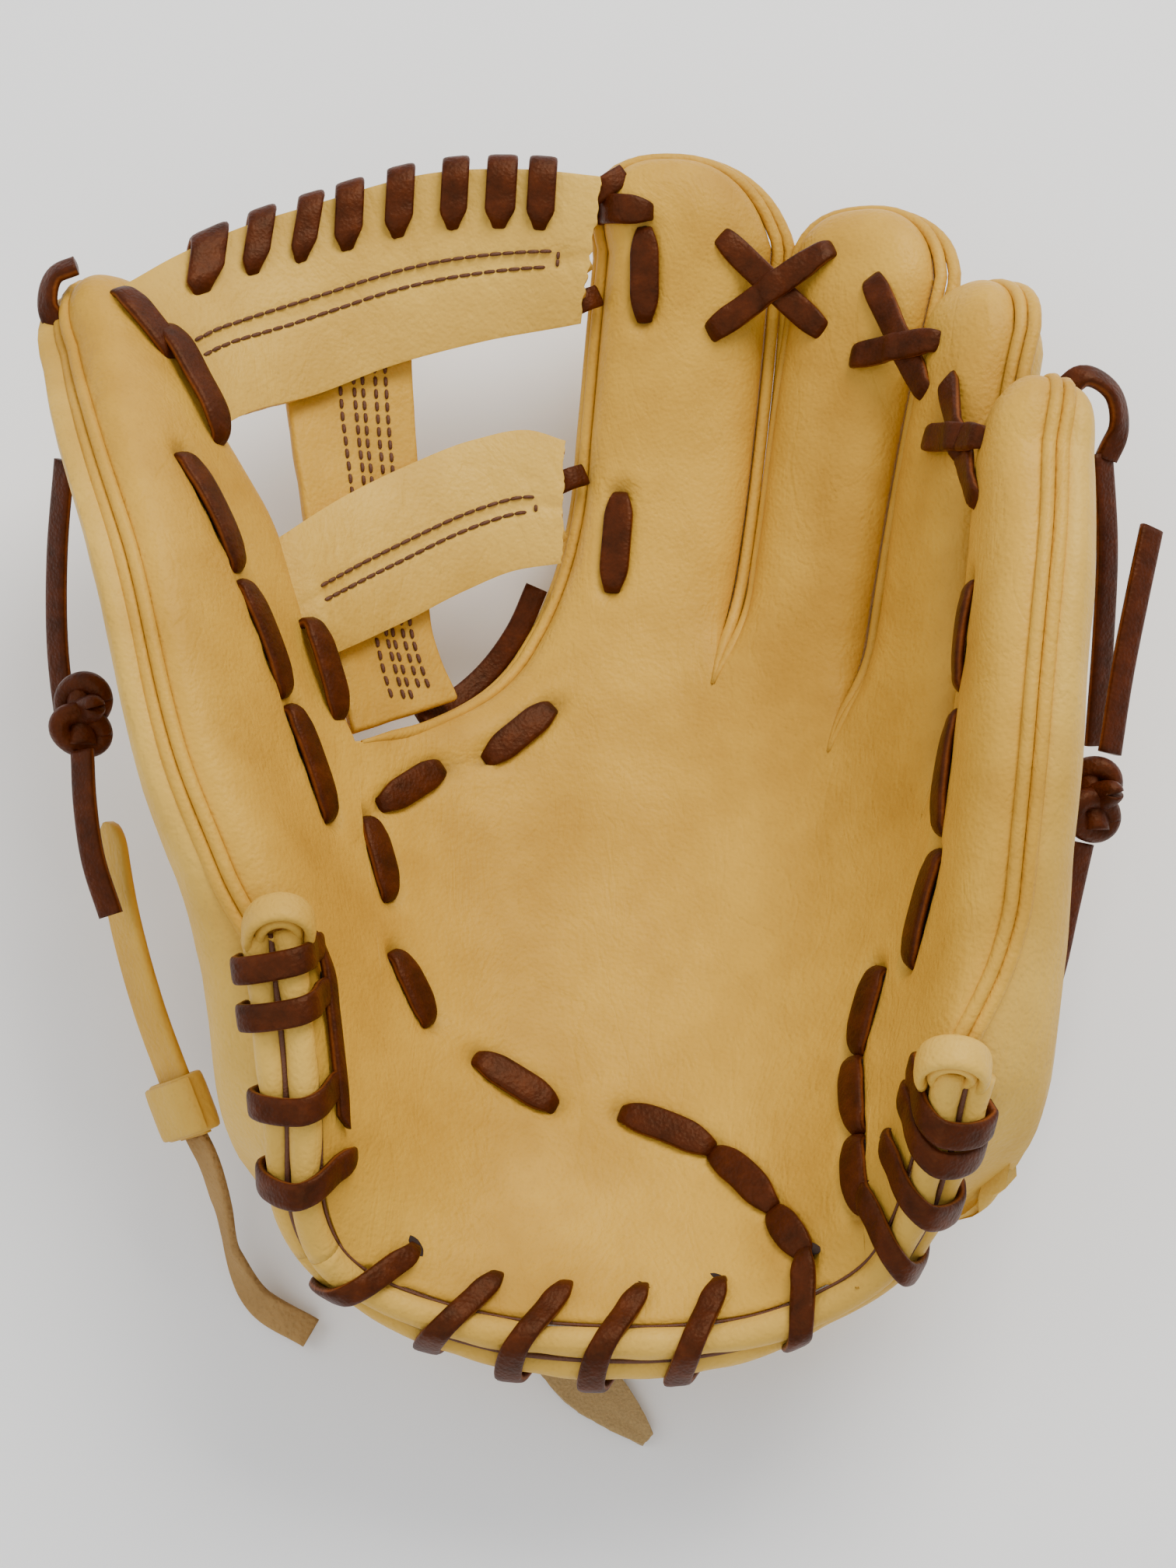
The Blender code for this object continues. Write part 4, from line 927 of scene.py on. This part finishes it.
def woven(name, runs, stall, side, extra=()):
    pile, holes = Pile(), Pile()
    for run in runs:
        run_arc(pile, run, stall.height)
        slit(holes, run, stall.height)
    for run, lift, height in extra:
        run_arc(pile, run, height, lift)
    follow(pile.done(name + "_strand", LACE), side, name)
    follow(holes.done(name + "_holes", HOLE_SHADE), side, name, extra=True)


def crossing(name, low_left, high_right, high_left, low_right, left, right):
    """Two strands of lace that cross over the gap between two fingers."""
    def height(g, y):
        middle = (float(left.right(min(y, left.shoulder))) + float(right.left(min(y, right.shoulder)))) / 2
        base = left.height(g, y) if g < middle else right.height(g, y)
        away = abs(g - middle)
        return base if away > 9 else base * (away / 9) ** 2
    pile, holes = Pile(), Pile()
    run_arc(pile, (high_left, low_right), height, 0.3, 6.8, pinch=0.66)
    run_arc(pile, (low_left, high_right), height, 1.9, 6.8, pinch=0.66)
    for a, b in ((high_left, low_right), (low_right, high_left),
                 (low_left, high_right), (high_right, low_left)):
        hole_lens(holes, a, b, height, 7.5, 3.0)
    return pile.done(name + "_strands", LACE), holes.done(name + "_holes", HOLE_SHADE)


def build_laces():
    flat = (lambda g, y: 0.0)
    woven("palm_lace", PALM_RUNS, INDEX, "palm")
    woven("palm_chain_lace", CHAIN_RUNS, RING, "palm")
    woven("web_index_lace", INDEX_RUNS, INDEX, "palm",
          extra=((((-2.5, 151), (15.5, 149)), 1.3, INDEX.height),))
    woven("thumb_stall_lace", THUMB_RUNS, THUMB, "thumb",
          extra=((((-117, 114.4), (-106.5, 98.8)), 0.9, flat), (((-107.4, 107), (-97.1, 78.9)), 1.6, flat),
                 (((-73.6, 40.3), (-64.9, 18.5)), 0.6, flat)))
    woven("pinky_stall_lace", PINKY_RUNS, PINKY, "pinky")
    for name, (a, b, c, d, left, right) in CROSSINGS.items():
        for obj, extra in zip(crossing(name, a, b, c, d, left, right), (False, True)):
            if name == "ring_pinky":
                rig.blend(obj, "palm", "pinky", tuple(place(100, 80, 0)), tuple(place(114, 66, 0)))
            else:
                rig.ride(obj, "palm")
            stand_for(obj, name + "_lace", extra)


# ---- the padded rim at the heel ----
RIM_PATH = smooth_path([(g, y, 0) for g, y in HEEL_EDGE], 241)[:, :2]
RIM_AHEAD = np.gradient(RIM_PATH, axis=0)
RIM_OUT = unit(np.stack([RIM_AHEAD[:, 1], -RIM_AHEAD[:, 0]], 1))
RIM_REACH = reach_of(RIM_PATH)
WRAP_SECTION = ((-8.4, -2.2), (-7.9, 0.2), (-6, 1.5), (-2, 1.6), (1.3, 2.6), (4.0, 3.2), (7.0, 2.3),
                (8.9, -1.5), (9.7, -5.0), (9.9, -8.6), (8.6, -11.6), (4.5, -12.4))
THUMB_WRAPS = (-88.5, -84.5, -75, -66.5)
CENTRE_WRAPS = (-46, -26, -10, 7, 25, 47)
PINKY_WRAPS = (68.5, 79, 88.5, 93.5)


def rim_point(reach, outward):
    g, y = (np.interp(reach, RIM_REACH, RIM_PATH[:, k]) for k in (0, 1))
    out = [np.interp(reach, RIM_REACH, RIM_OUT[:, k]) for k in (0, 1)]
    return g + out[0] * outward, y + out[1] * outward


def rim_reach(g):
    return float(np.interp(g, RIM_PATH[:, 0], RIM_REACH))


ROLL_SPLITS = (rim_reach(-56.0), rim_reach(65.0))


def rim_line(first, last, outward, height):
    reaches = np.linspace(first, last, int((last - first) / 1.6))
    return place(*rim_point(reaches, outward), height), reaches


def build_rim():
    ends = (1.0, ROLL_SPLITS[0] - 0.2, ROLL_SPLITS[1] + 0.2, RIM_REACH[-1] - 1.0)
    wraps = [rim_reach(g) for g in THUMB_WRAPS + CENTRE_WRAPS + PINKY_WRAPS]
    for k, side in enumerate(("thumb", "centre", "pinky")):
        first, last = ends[k:k + 2]
        body = "palm" if side == "centre" else side
        for level, outward, height, phase in (("upper", 3.9, -1.2, 0), ("lower", 5.5, -7.5, 2)):
            path, reaches = rim_line(first, last, outward, height)
            tight = np.abs(reaches[:, None] - np.array(wraps)).min(1)
            swell = 1 + 0.05 * np.sin(reaches / 5.3 + phase) - 0.10 * np.exp(-(tight / 3.5) ** 2)
            roll = Pile().tube(path, 3.35 * swell, 18).done(f"heel_roll_{level}_{side}_leather", PALE)
            follow(roll, body, f"heel_roll_{level}_{side}")
        for piece, outward, height, radius in (("seam", 6.3, -3.95, 0.62), ("groove", 0.75, 0.05, 0.34)):
            thread = Pile().tube(rim_line(first, last, outward, height)[0], radius, 8)
            follow(thread.done(f"heel_{piece}_{side}", THREAD), body, f"heel_roll_upper_{side}", extra=True)
    for side, crossings, slant in (("thumb", THUMB_WRAPS, 0.15), ("centre", CENTRE_WRAPS, -0.6),
                                   ("pinky", PINKY_WRAPS, -0.55)):
        pile, holes = Pile(), Pile()
        for start in map(rim_reach, crossings):
            section = smooth_path(WRAP_SECTION, 40)
            points = [(*rim_point(start + slant * o, o), h) for o, h in section]
            path = place(*np.array(points).T)
            along = place(*rim_point(start + 2, 0), 0) - place(*rim_point(start - 2, 0), 0)
            wide = 6.0 * (0.40 + 0.60 * ease((section[:, 0] + 9.5) / 5.5))
            pile.ribbon(path, np.tile(along, (len(path), 1)), wide, 2.2)
            hole = rim_point(start - slant * 8.3, -8.3)
            hole_lens(holes, hole, rim_point(start, 0), lambda a, b: 0.9, 7.6, 3.0)
        if side == "thumb":
            strand = ((-84.5, -42, 1.2), (-80.5, -48, 2.0), (-77.6, -56, 1.9), (-73.8, -66, 1.9),
                      (-70.2, -74, 2.0), (-66.5, -79.5, 1.2))
            path = smooth_path([place(*p) for p in strand], 50)
            pile.ribbon(path, place(-70, -60, 0) - place(-76, -57, 0) + 0 * path, 4.8, 2.2)
        body = "palm" if side == "centre" else side
        follow(pile.done(f"heel_wraps_{side}", LACE), body, f"heel_lace_{side}")
        follow(holes.done(f"heel_wrap_holes_{side}", HOLE_SHADE), body, f"heel_lace_{side}", extra=True)


def build_scrolls():
    """The curled ends of the thumb and little finger stalls' outer rolls, over the heel."""
    for side, reach, outward in (("thumb", 0.5, 4.6), ("pinky", RIM_REACH[-1] - 0.5, 4.6)):
        sign = 1 if side == "thumb" else -1
        g, y = rim_point(reach, outward)
        centre = place(g, y, -2.0)
        ahead = place(*rim_point(reach + sign * 3, outward), -2.0) - centre
        face = unit(unit(ahead) * 0.85 + np.array([0, -0.15, 0.75]))
        u = unit(np.cross(face, [0, 0, 1]))
        v = np.cross(face, u)
        turns = np.linspace(0, 2.1 * 2 * np.pi, 96)
        radius = np.interp(turns, (0, turns[-1]), (2.0, 7.4))
        rise = np.interp(turns, (0, turns[-1]), (-1.2, 0.0))
        path = [centre + (u * math.cos(t) * r + v * math.sin(t) * r + face * h) * MM
                for t, r, h in zip(turns, radius, rise)]
        scroll = Pile().ribbon(np.array(path), np.tile(face, (len(path), 1)), 8.0, 2.75, boxy=0.7)
        follow(scroll.done(side + "_scroll", PALE), side, side + "_back", extra=True)


# ---- the web ----
TOP_UPPER = ((-115, 117.5), (-101, 129.5), (-85, 140), (-67, 148), (-39, 157), (-15, 158.5), (3.5, 157))
TOP_LOWER = ((-96, 83), (-86, 91), (-68, 100.5), (-49, 111), (-26, 119), (-1.9, 123.8))
MIDDLE_UPPER = ((-87, 54), (-73.5, 66), (-60, 77), (-45, 87), (-28, 95.5), (-14, 98.5), (-5.7, 96.2))
MIDDLE_LOWER = ((-76, 26), (-66, 34), (-57, 40), (-45, 48), (-30, 58), (-18, 64), (-6.4, 66.3))
POST_LEFT = ((-75, 117), (-72, 90), (-67, 62), (-61, 37), (-56, 18.5))
POST_RIGHT = ((-43, 119), (-41, 92), (-38.5, 66), (-35.5, 45), (-30, 32))
TOP_SECTION = ((12.6, -2.6), (12.9, -0.4), (11.2, 1.2), (6, 1.5), (1.5, 1.4), (-1.6, -0.4), (-2.4, -2.6),
               (-1.2, -5.2), (3, -5.9), (9, -5.8))
WEB_SPAN = (tuple(place(-12, 105, 0)), tuple(place(-92, 85, 0)))


def between(lower, upper, rows, columns, height):
    """Girth, station and height over a band between two lines; height takes (u, v)."""
    low = smooth_path([(g, y, 0) for g, y in lower], columns)[:, :2]
    high = smooth_path([(g, y, 0) for g, y in upper], columns)[:, :2]
    grid = []
    for v in np.linspace(0, 1, rows):
        grid.append([(*(low[k] * (1 - v) + high[k] * v), height(k / (columns - 1), v))
                     for k in range(columns)])
    return np.array(grid)


def stitches(pile, points, lift, pitch=3.1, long=2.85, radius=0.46):
    """A row of lock stitches along points of (girth, station, height)."""
    points = np.array(points, float)
    world = place(*points.T)
    reach = reach_of(world) / MM
    for at in np.arange(pitch / 2, reach[-1] - pitch / 2, pitch):
        spots = at + np.array((-long / 2, -long * 0.36, 0, long * 0.36, long / 2))
        heights = np.array((-0.35, 0.05, 0.2, 0.05, -0.35)) + lift
        route = np.stack([np.interp(spots, reach, points[:, k]) for k in range(3)], -1)
        route[:, 2] += heights
        pile.tube(place(*route.T), (radius * 0.5, radius, radius * 1.1, radius, radius * 0.5), 6)


def web_piece(obj, node_name, extra=False):
    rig.blend(obj, "palm", "thumb", *WEB_SPAN)
    stand_for(obj, node_name, extra)


def band(name, lower, upper, columns, rows, crown, notch, tuck):
    """A padded web bar: fullest between its stitch rows, dented along them, its end cut."""
    def height(u, v):
        full = crown * (1 - abs(2 * v - 1) ** 3.2) - 0.55 * math.exp(-((v - 0.45) / 0.05) ** 2)
        ripple = 0.42 * wave(u * 11 + v * 2, v * 2.2, crown * 3 + 1)
        crease = abs(wave(u * 26 + v * 3, v * 2.4, crown * 5))
        ripple -= 0.75 * math.exp(-(crease / 0.055) ** 2) * (0.35 + abs(2 * v - 1))
        dive = tuck * (1 - float(ease(u / 0.17)))
        return -1.3 - dive + full + ripple * (1 - abs(2 * v - 1)) * float(ease(u / 0.1))
    grid = between(lower, upper, rows, columns, height)
    for i in range(rows):
        cut = notch * wave(i * 0.55, crown * 9, 2.0)
        grid[i, -2:, 0] += (cut * 0.5, cut)
    return solid(sheet_mesh(name, surface(grid), PALE), 3.4, 1.1), height


def grid_line(lower, upper, v, first, last, height, count=60):
    """Points of a band at the share v between its edges, between two shares of its length."""
    grid = between(lower, upper, 2, 90, lambda a, b: 0.0)
    path = grid[0] * (1 - v) + grid[1] * v
    spots = np.linspace(first, last, count) * (len(path) - 1)
    route = np.stack([np.interp(spots, np.arange(len(path)), path[:, k]) for k in range(3)], -1)
    route[:, 2] = [height(s / (len(path) - 1), v) for s in spots]
    return route


def build_web():
    for name, lower, upper, columns, rows, crown, notch, tuck, seams, first, last in (
            ("top", TOP_LOWER, TOP_UPPER, 150, 44, 1.6, 0.9, 0.0, (0.40, 0.50), 0.07, 0.93),
            ("middle", MIDDLE_LOWER, MIDDLE_UPPER, 130, 40, 1.5, 0.7, 9.0, (0.40, 0.51), 0.17, 0.92)):
        bar, height = band(f"web_{name}_leather", lower, upper, columns, rows, crown, notch, tuck)
        web_piece(bar, f"web_{name}_bar")
        pile = Pile()
        for v in seams:
            stitches(pile, grid_line(lower, upper, v, first, last, height), 0.12)
        ends = [grid_line(lower, upper, v, last, last, height, 2)[-1] for v in seams]
        stitches(pile, np.linspace(ends[0], ends[1], 6), 0.12, 1.9, 1.5)
        web_piece(pile.done(f"web_{name}_stitching", THREAD), f"web_{name}_bar", extra=True)

    def post_height(u, v):
        return -5.0 + 0.5 * wave(u * 12, v * 5, 4) - 0.5 * abs(2 * v - 1) ** 3
    grid = between(POST_LEFT, POST_RIGHT, 20, 80, post_height)
    post = solid(sheet_mesh("web_post_leather", surface(grid), TAN), 3.0, 0.9)
    web_piece(post, "web_post")
    pile = Pile()
    for v in (0.42, 0.53, 0.60, 0.70, 0.78):
        stitches(pile, grid_line(POST_LEFT, POST_RIGHT, v, 0.03, 0.97, post_height, 80), 0.12, 3.2, 2.3)
    web_piece(pile.done("web_post_stitching", THREAD), "web_post", extra=True)

    def top_at(g):
        return float(line(TOP_UPPER, g))

    pile, holes = Pile(), Pile()
    section = smooth_path(TOP_SECTION, 36)
    for k, g in enumerate(TOP_WRAPS):
        lean = 1.0 + 2.0 * (g < -60)
        leant = [g + (12.6 - d) / 14 * lean for d, h in section]
        path = place(*np.array([(a, top_at(a) - d, h) for a, (d, h) in zip(leant, section)]).T)
        along = place(g + 3, top_at(g + 3), 0) - place(g - 3, top_at(g - 3), 0)
        size = 1.55 if k == 0 else 1.0 + 0.06 * math.sin(k * 2.3)
        wide = 7.2 * size * (0.40 + 0.60 * ease((13.6 - section[:, 0]) / 4.5))
        pile.ribbon(path, np.tile(along, (len(path), 1)), wide, 2.2)
        hole_lens(holes, (g, top_at(g) - 12.7), (g, top_at(g)), lambda a, b: 0.35, 5.6 * size, 2.6)
    web_piece(pile.done("web_top_wraps", LACE), "top_bar_lace")
    web_piece(holes.done("web_top_wrap_holes", HOLE_SHADE), "top_bar_lace", extra=True)

    pile = Pile()
    for a, b, n in (((1, 153), (9, 158), -4.0), ((-4.5, 128), (2.5, 131), -4.5), ((-8, 86), (-1, 89), -4.5)):
        middle = place((a[0] + b[0]) / 2, (a[1] + b[1]) / 2, n + 0.5)
        path = smooth_path([place(*a, n), middle, place(*b, n - 2)], 14)
        normal = place(*a, 1) - place(*a, 0)
        pile.ribbon(path, np.cross(np.gradient(path, axis=0), normal), 5.6, 2.2)
    route = [(-12, 62, -9), (-16, 52, -12), (-22, 42, -14), (-30, 33, -13), (-38, 27, -9)]
    path = smooth_path([place(*p) for p in route], 30)
    normal = place(-25, 40, 1) - place(-25, 40, 0)
    pile.ribbon(path, np.cross(np.gradient(path, axis=0), normal), 5.8, 2.2)
    follow(pile.done("web_ties", LACE), "palm", "web_index_lace", extra=True)


# ---- straps, tag, knots and free ends ----
STRAP_PATH = ((-110.5, -6, 50), (-106, -28, 47), (-100, -48, 43), (-93, -66, 38), (-89, -76, 35))
TAIL_PATH = ((-89.4, -75.4, 33.6), (-86.8, -80.5, 31.2), (-84, -90, 25), (-82.5, -99, 15), (-77, -110, 6),
             (-65, -117, 3))
KEEPER, KEEPER_AXIS = (-91.7, -69.5, 37.0), (-0.36, 0.897, 0.265)
STRAP_LOOK = np.array((-0.75, -0.1, 0.65))
TAG_LINE = ((-19, -113), (-7, -121), (3, -131), (14, -141))
TAG_HOLE = (-6.0, -121.2, 0)
KNOTS = (("thumb", (-115, 15, 64)), ("pinky", (114, -4, 60)))
FREE_LACES = {
    "thumb_tail_long": ((-121, 74, 74), (-124, 56, 62), (-125, 36, 50), (-123, 16, 40)),
    "thumb_tail_short": ((-114, 6, 66), (-113, -6, 64), (-111, -18, 61), (-107, -30, 57)),
    "pinky_tail_long": ((118, 74, 78), (120, 56, 68), (120, 36, 57), (119, 14, 46)),
    "pinky_tail_up": ((118, 6, 64), (121, 23, 68), (125, 41, 72), (129, 57, 74)),
    "pinky_tail_down": ((112, -13, 57), (109, -26, 52), (105, -42, 47), (100, -54, 44)),
}


def build_free_laces():
    for name, points in FREE_LACES.items():
        side = name.split("_")[0]
        path = metres(points, 40)
        sides = np.cross(np.gradient(path, axis=0), (np.sign(points[0][0]) * 0.6, 0, 1.0))
        obj = Pile().ribbon(path, sides, LACE_WIDTH, 2.1).done(name + "_lace", LACE)
        ride(obj, side, name)
        length = float(reach_of(path)[-1])
        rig.cord(obj, exit=tuple(path[0]), length=round(length, 4), diameter=LACE_WIDTH * MM, far_end="bare",
                stiffness="stiff", lay="loose", path=[tuple(p) for p in path])


def build_knots():
    """Each knot is three tight turns of lace round the strands that leave it."""
    for side, centre in KNOTS:
        centre = np.array(centre, float)
        pile = Pile()
        turns = np.linspace(0, 2 * np.pi, 44)
        for tilt, rx, ry, rz, shift in ((0.5, 4.6, 4.4, 3.4, (0, 3.6, 0)),
                                        (-0.7, 4.4, 4.6, 3.2, (0, -3.6, 0.4)),
                                        (1.4, 3.2, 5.6, 3.8, (0.6, 0.2, 1.6))):
            loop = np.stack([rx * np.cos(turns), ry * np.sin(turns) * math.cos(tilt) * 0.9,
                             rz * np.sin(turns + tilt)], -1)
            pile.tube((centre + np.array(shift) + loop - ORIGIN) * MM, 2.5, 14)
        pile.tube(metres([centre + (0.4, -7, -0.6), centre, centre + (-0.4, 7, 0.6)], 16), 3.4, 14)
        ride(pile.done(side + "_knot_turns", LACE), side, side + "_knot")


def build_end_loops():
    """Where the stall laces turn over the tip of the thumb and the top of the little finger."""
    for side, points in (("thumb", ((-120, 121, 81), (-125, 119, 80), (-127, 113, 77), (-124, 107, 73))),
                         ("pinky", ((107, 85, 85), (113, 88.5, 88), (119, 86, 86), (121.5, 79, 81),
                                    (119, 73, 77)))):
        path = metres(points, 36)
        sides = np.cross(np.gradient(path, axis=0), (0.5 * np.sign(points[0][0]), 0.3, 0.8))
        loop = Pile().ribbon(path, sides, 5.6, 3.0).done(side + "_end_loop", LACE)
        ride(loop, side, side + "_stall_lace", extra=True)


def strip(name, points, looks, width, thick, mat, round_tip=False):
    """A strap along a path, its face turned towards the looks given along it."""
    path = metres(points, 60)
    share = np.linspace(0, 1, len(looks))
    looks = np.stack([np.interp(np.linspace(0, 1, 60), share, np.array(looks)[:, k]) for k in range(3)], -1)
    scale = np.ones(60)
    if round_tip:
        away = reach_of(path) / MM
        scale *= np.sqrt(np.clip(1 - (1 - np.clip(away / (width * 0.7), 0, 1)) ** 2, 0.02, 1))
    sides = np.cross(np.gradient(path, axis=0), looks)
    return Pile().ribbon(path, sides, width * scale, thick, 16, 0.3).done(name, mat)


def build_straps():
    pull = strip("pull_strap_leather", STRAP_PATH, [STRAP_LOOK] * 5, 11.0, 2.4, TAN, round_tip=True)
    ride(pull, "thumb", "pull_strap")
    looks = [STRAP_LOOK, STRAP_LOOK, (-0.8, 0, 0.6), (-0.4, -0.3, 0.8), (0, 0, 1)]
    ride(strip("strap_tail_leather", TAIL_PATH, looks, 7.2, 2.3, RAW), "thumb", "strap_tail")


def build_keeper():
    """A folded band of leather round the pull strap, with an overlap on its outside."""
    axis = np.array(KEEPER_AXIS) / np.linalg.norm(KEEPER_AXIS)
    wide = unit(np.cross(axis, STRAP_LOOK))
    out = np.cross(wide, axis)
    pile = Pile()
    for reach, rise, width, thick, turn in ((7.3, 3.6, 13.5, 1.7, 1.0), (8.3, 4.9, 12.5, 1.2, 0.42)):
        angle = np.linspace(-math.pi * turn, math.pi * turn, 72) + math.pi / 2
        close, lift = power(np.cos(angle), 0.62), power(np.sin(angle), 0.75)
        path = np.array(KEEPER) + wide * (close * reach)[:, None] + out * (lift * rise)[:, None]
        pile.ribbon((path - ORIGIN) * MM, axis + 0 * path, width, thick)
    ride(pile.done("strap_keeper_band", PALE), "keeper", "strap_keeper")


def build_tag():
    """The leaf-shaped tag with a raw wavy edge, a hole, a cord and a small spring."""
    rows = []
    for t in np.linspace(0, 1, 60):
        centre = np.array([np.interp(t, (0, 0.35, 0.7, 1), [p[k] for p in TAG_LINE]) for k in (0, 1)])
        half = 7.0 * math.sin(math.pi * (0.04 + 0.92 * t)) ** 0.7 * math.sqrt(0.5)
        row = []
        for share in np.linspace(-1, 1, 15):
            out = share * half * (1 + 0.03 * wave(t * 30, share * 2, 1) * abs(share))
            row.append((centre[0] + out, centre[1] + out, 3.2 + 0.25 * wave(t * 6, share * 2, 5)))
        rows.append(row)
    tag = sheet_mesh("hang_tag_leather", (np.array(rows) - ORIGIN) * MM, SUEDE, flip=True)
    solid(tag, 2.4, 0.5)
    bm = bmesh.new()
    bmesh.ops.create_cone(bm, cap_ends=True, segments=32, radius1=2.6 * MM, radius2=2.6 * MM, depth=12 * MM)
    bmesh.ops.translate(bm, verts=bm.verts, vec=(np.array(TAG_HOLE) - ORIGIN) * MM)
    cutter = add("tag_cut", bpy.data.meshes.new("tag_cut"))
    bm.to_mesh(cutter.data)
    bm.free()
    cut = tag.modifiers.new("Hole", "BOOLEAN")
    cut.object = cutter
    apply_all(tag)
    bpy.data.objects.remove(cutter, do_unlink=True)
    ride(tag, "tag", "hang_tag")
    cord = ((14, -125, 6.5), (8, -123.5, 7), (1, -122, 7), (-4, -121.2, 5.8), (-6, -121.2, 1.9))
    ride(Pile().tube(metres(cord, 40), 0.95).done("tag_cord_black", BLACK), "tag", "tag_cord")
    turns = np.linspace(0, 6 * 2 * np.pi, 150)
    axis = metres(cord[:3], 150)
    ahead = unit(np.gradient(axis, axis=0))
    u = unit(np.cross(ahead, [0, 0, 1]))
    v = np.cross(ahead, u)
    path = axis + (u * np.cos(turns)[:, None] + v * np.sin(turns)[:, None]) * 1.45 * MM
    ride(Pile().tube(path[70:140], 0.26, 8).done("tag_spring", STEEL), "tag", "tag_cord", extra=True)


def build_wrist():
    grid = []
    for y in np.linspace(-108.5, -71, 24):
        grid.append([(g, y, -float(back_depth(g, y + 3)) - 0.5 + 4 * ease((abs(g) - 34) / 20)
                      + 0.3 * wave(g / 9, y / 9, 2)) for g in np.linspace(-42, 54, 50)])
    strap = sheet_mesh("wrist_strap_leather", surface(grid, flat=True), PALE, flip=True)
    ride(solid(strap, 2.6, 0.9), "palm", "wrist_strap")


def build_inside():
    """The CAD parts that show as they are, through the hand opening."""
    pads = [part + "_pad" for part in ("palm", "index", "middle", "ring", "thumb", "pinky")]
    for mat, names in ((FLEECE, ("wrist_fleece",)), (SUEDE, ("palm_lining", "thumb_stay", "pinky_stay")),
                       (FELT, pads)):
        for name in names:
            materials = frame["nodes"][name].data.materials
            materials.clear()
            materials.append(mat)


# ---- floor and light ----
def build_stage():
    mat, _, shader = nodes_of("cloth")
    shader.inputs["Base Color"].default_value = (0.97, 0.965, 0.955, 1)
    shader.inputs["Roughness"].default_value = 0.9
    bpy.ops.mesh.primitive_plane_add(size=6, location=(0, 0, -0.0003))
    floor = bpy.context.object
    floor.name = "floor"
    floor.data.materials.append(mat)
    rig.stage(floor)
    world = bpy.data.worlds.new("studio")
    bpy.context.scene.world = world
    world.use_nodes = True
    sky = world.node_tree.nodes["Background"].inputs
    sky["Color"].default_value = (0.93, 0.96, 1.0, 1)
    sky["Strength"].default_value = 0.76
    for name, at, size, power, color in (("key", (0.45, 0.80, 1.05), 0.7, 17, (1.0, 0.97, 0.92)),
                                         ("fill", (-0.9, 0.1, 1.0), 0.9, 3.5, (0.97, 0.98, 1.0)),
                                         ("heel", (-0.1, -0.9, 1.2), 0.8, 4, (1.0, 0.98, 0.95))):
        lamp = bpy.data.lights.new(name, "AREA")
        lamp.size = size
        lamp.energy = power
        lamp.color = color
        obj = add(name, lamp)
        obj.location = at
        obj.rotation_euler = (Vector((0, 0, 0.03)) - Vector(at)).to_track_quat("-Z", "Y").to_euler()


build_free_laces()
build_knots()
build_end_loops()
build_palm()
build_backs()
build_gussets()
build_welts()
build_laces()
build_rim()
build_scrolls()
build_web()
build_straps()
build_keeper()
build_tag()
build_wrist()
build_inside()
build_stage()

with open("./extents.json", "w") as out:
    json.dump({"cad": CAD_BOX, "visual": [list(map(float, corner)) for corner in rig.bounds()]}, out)
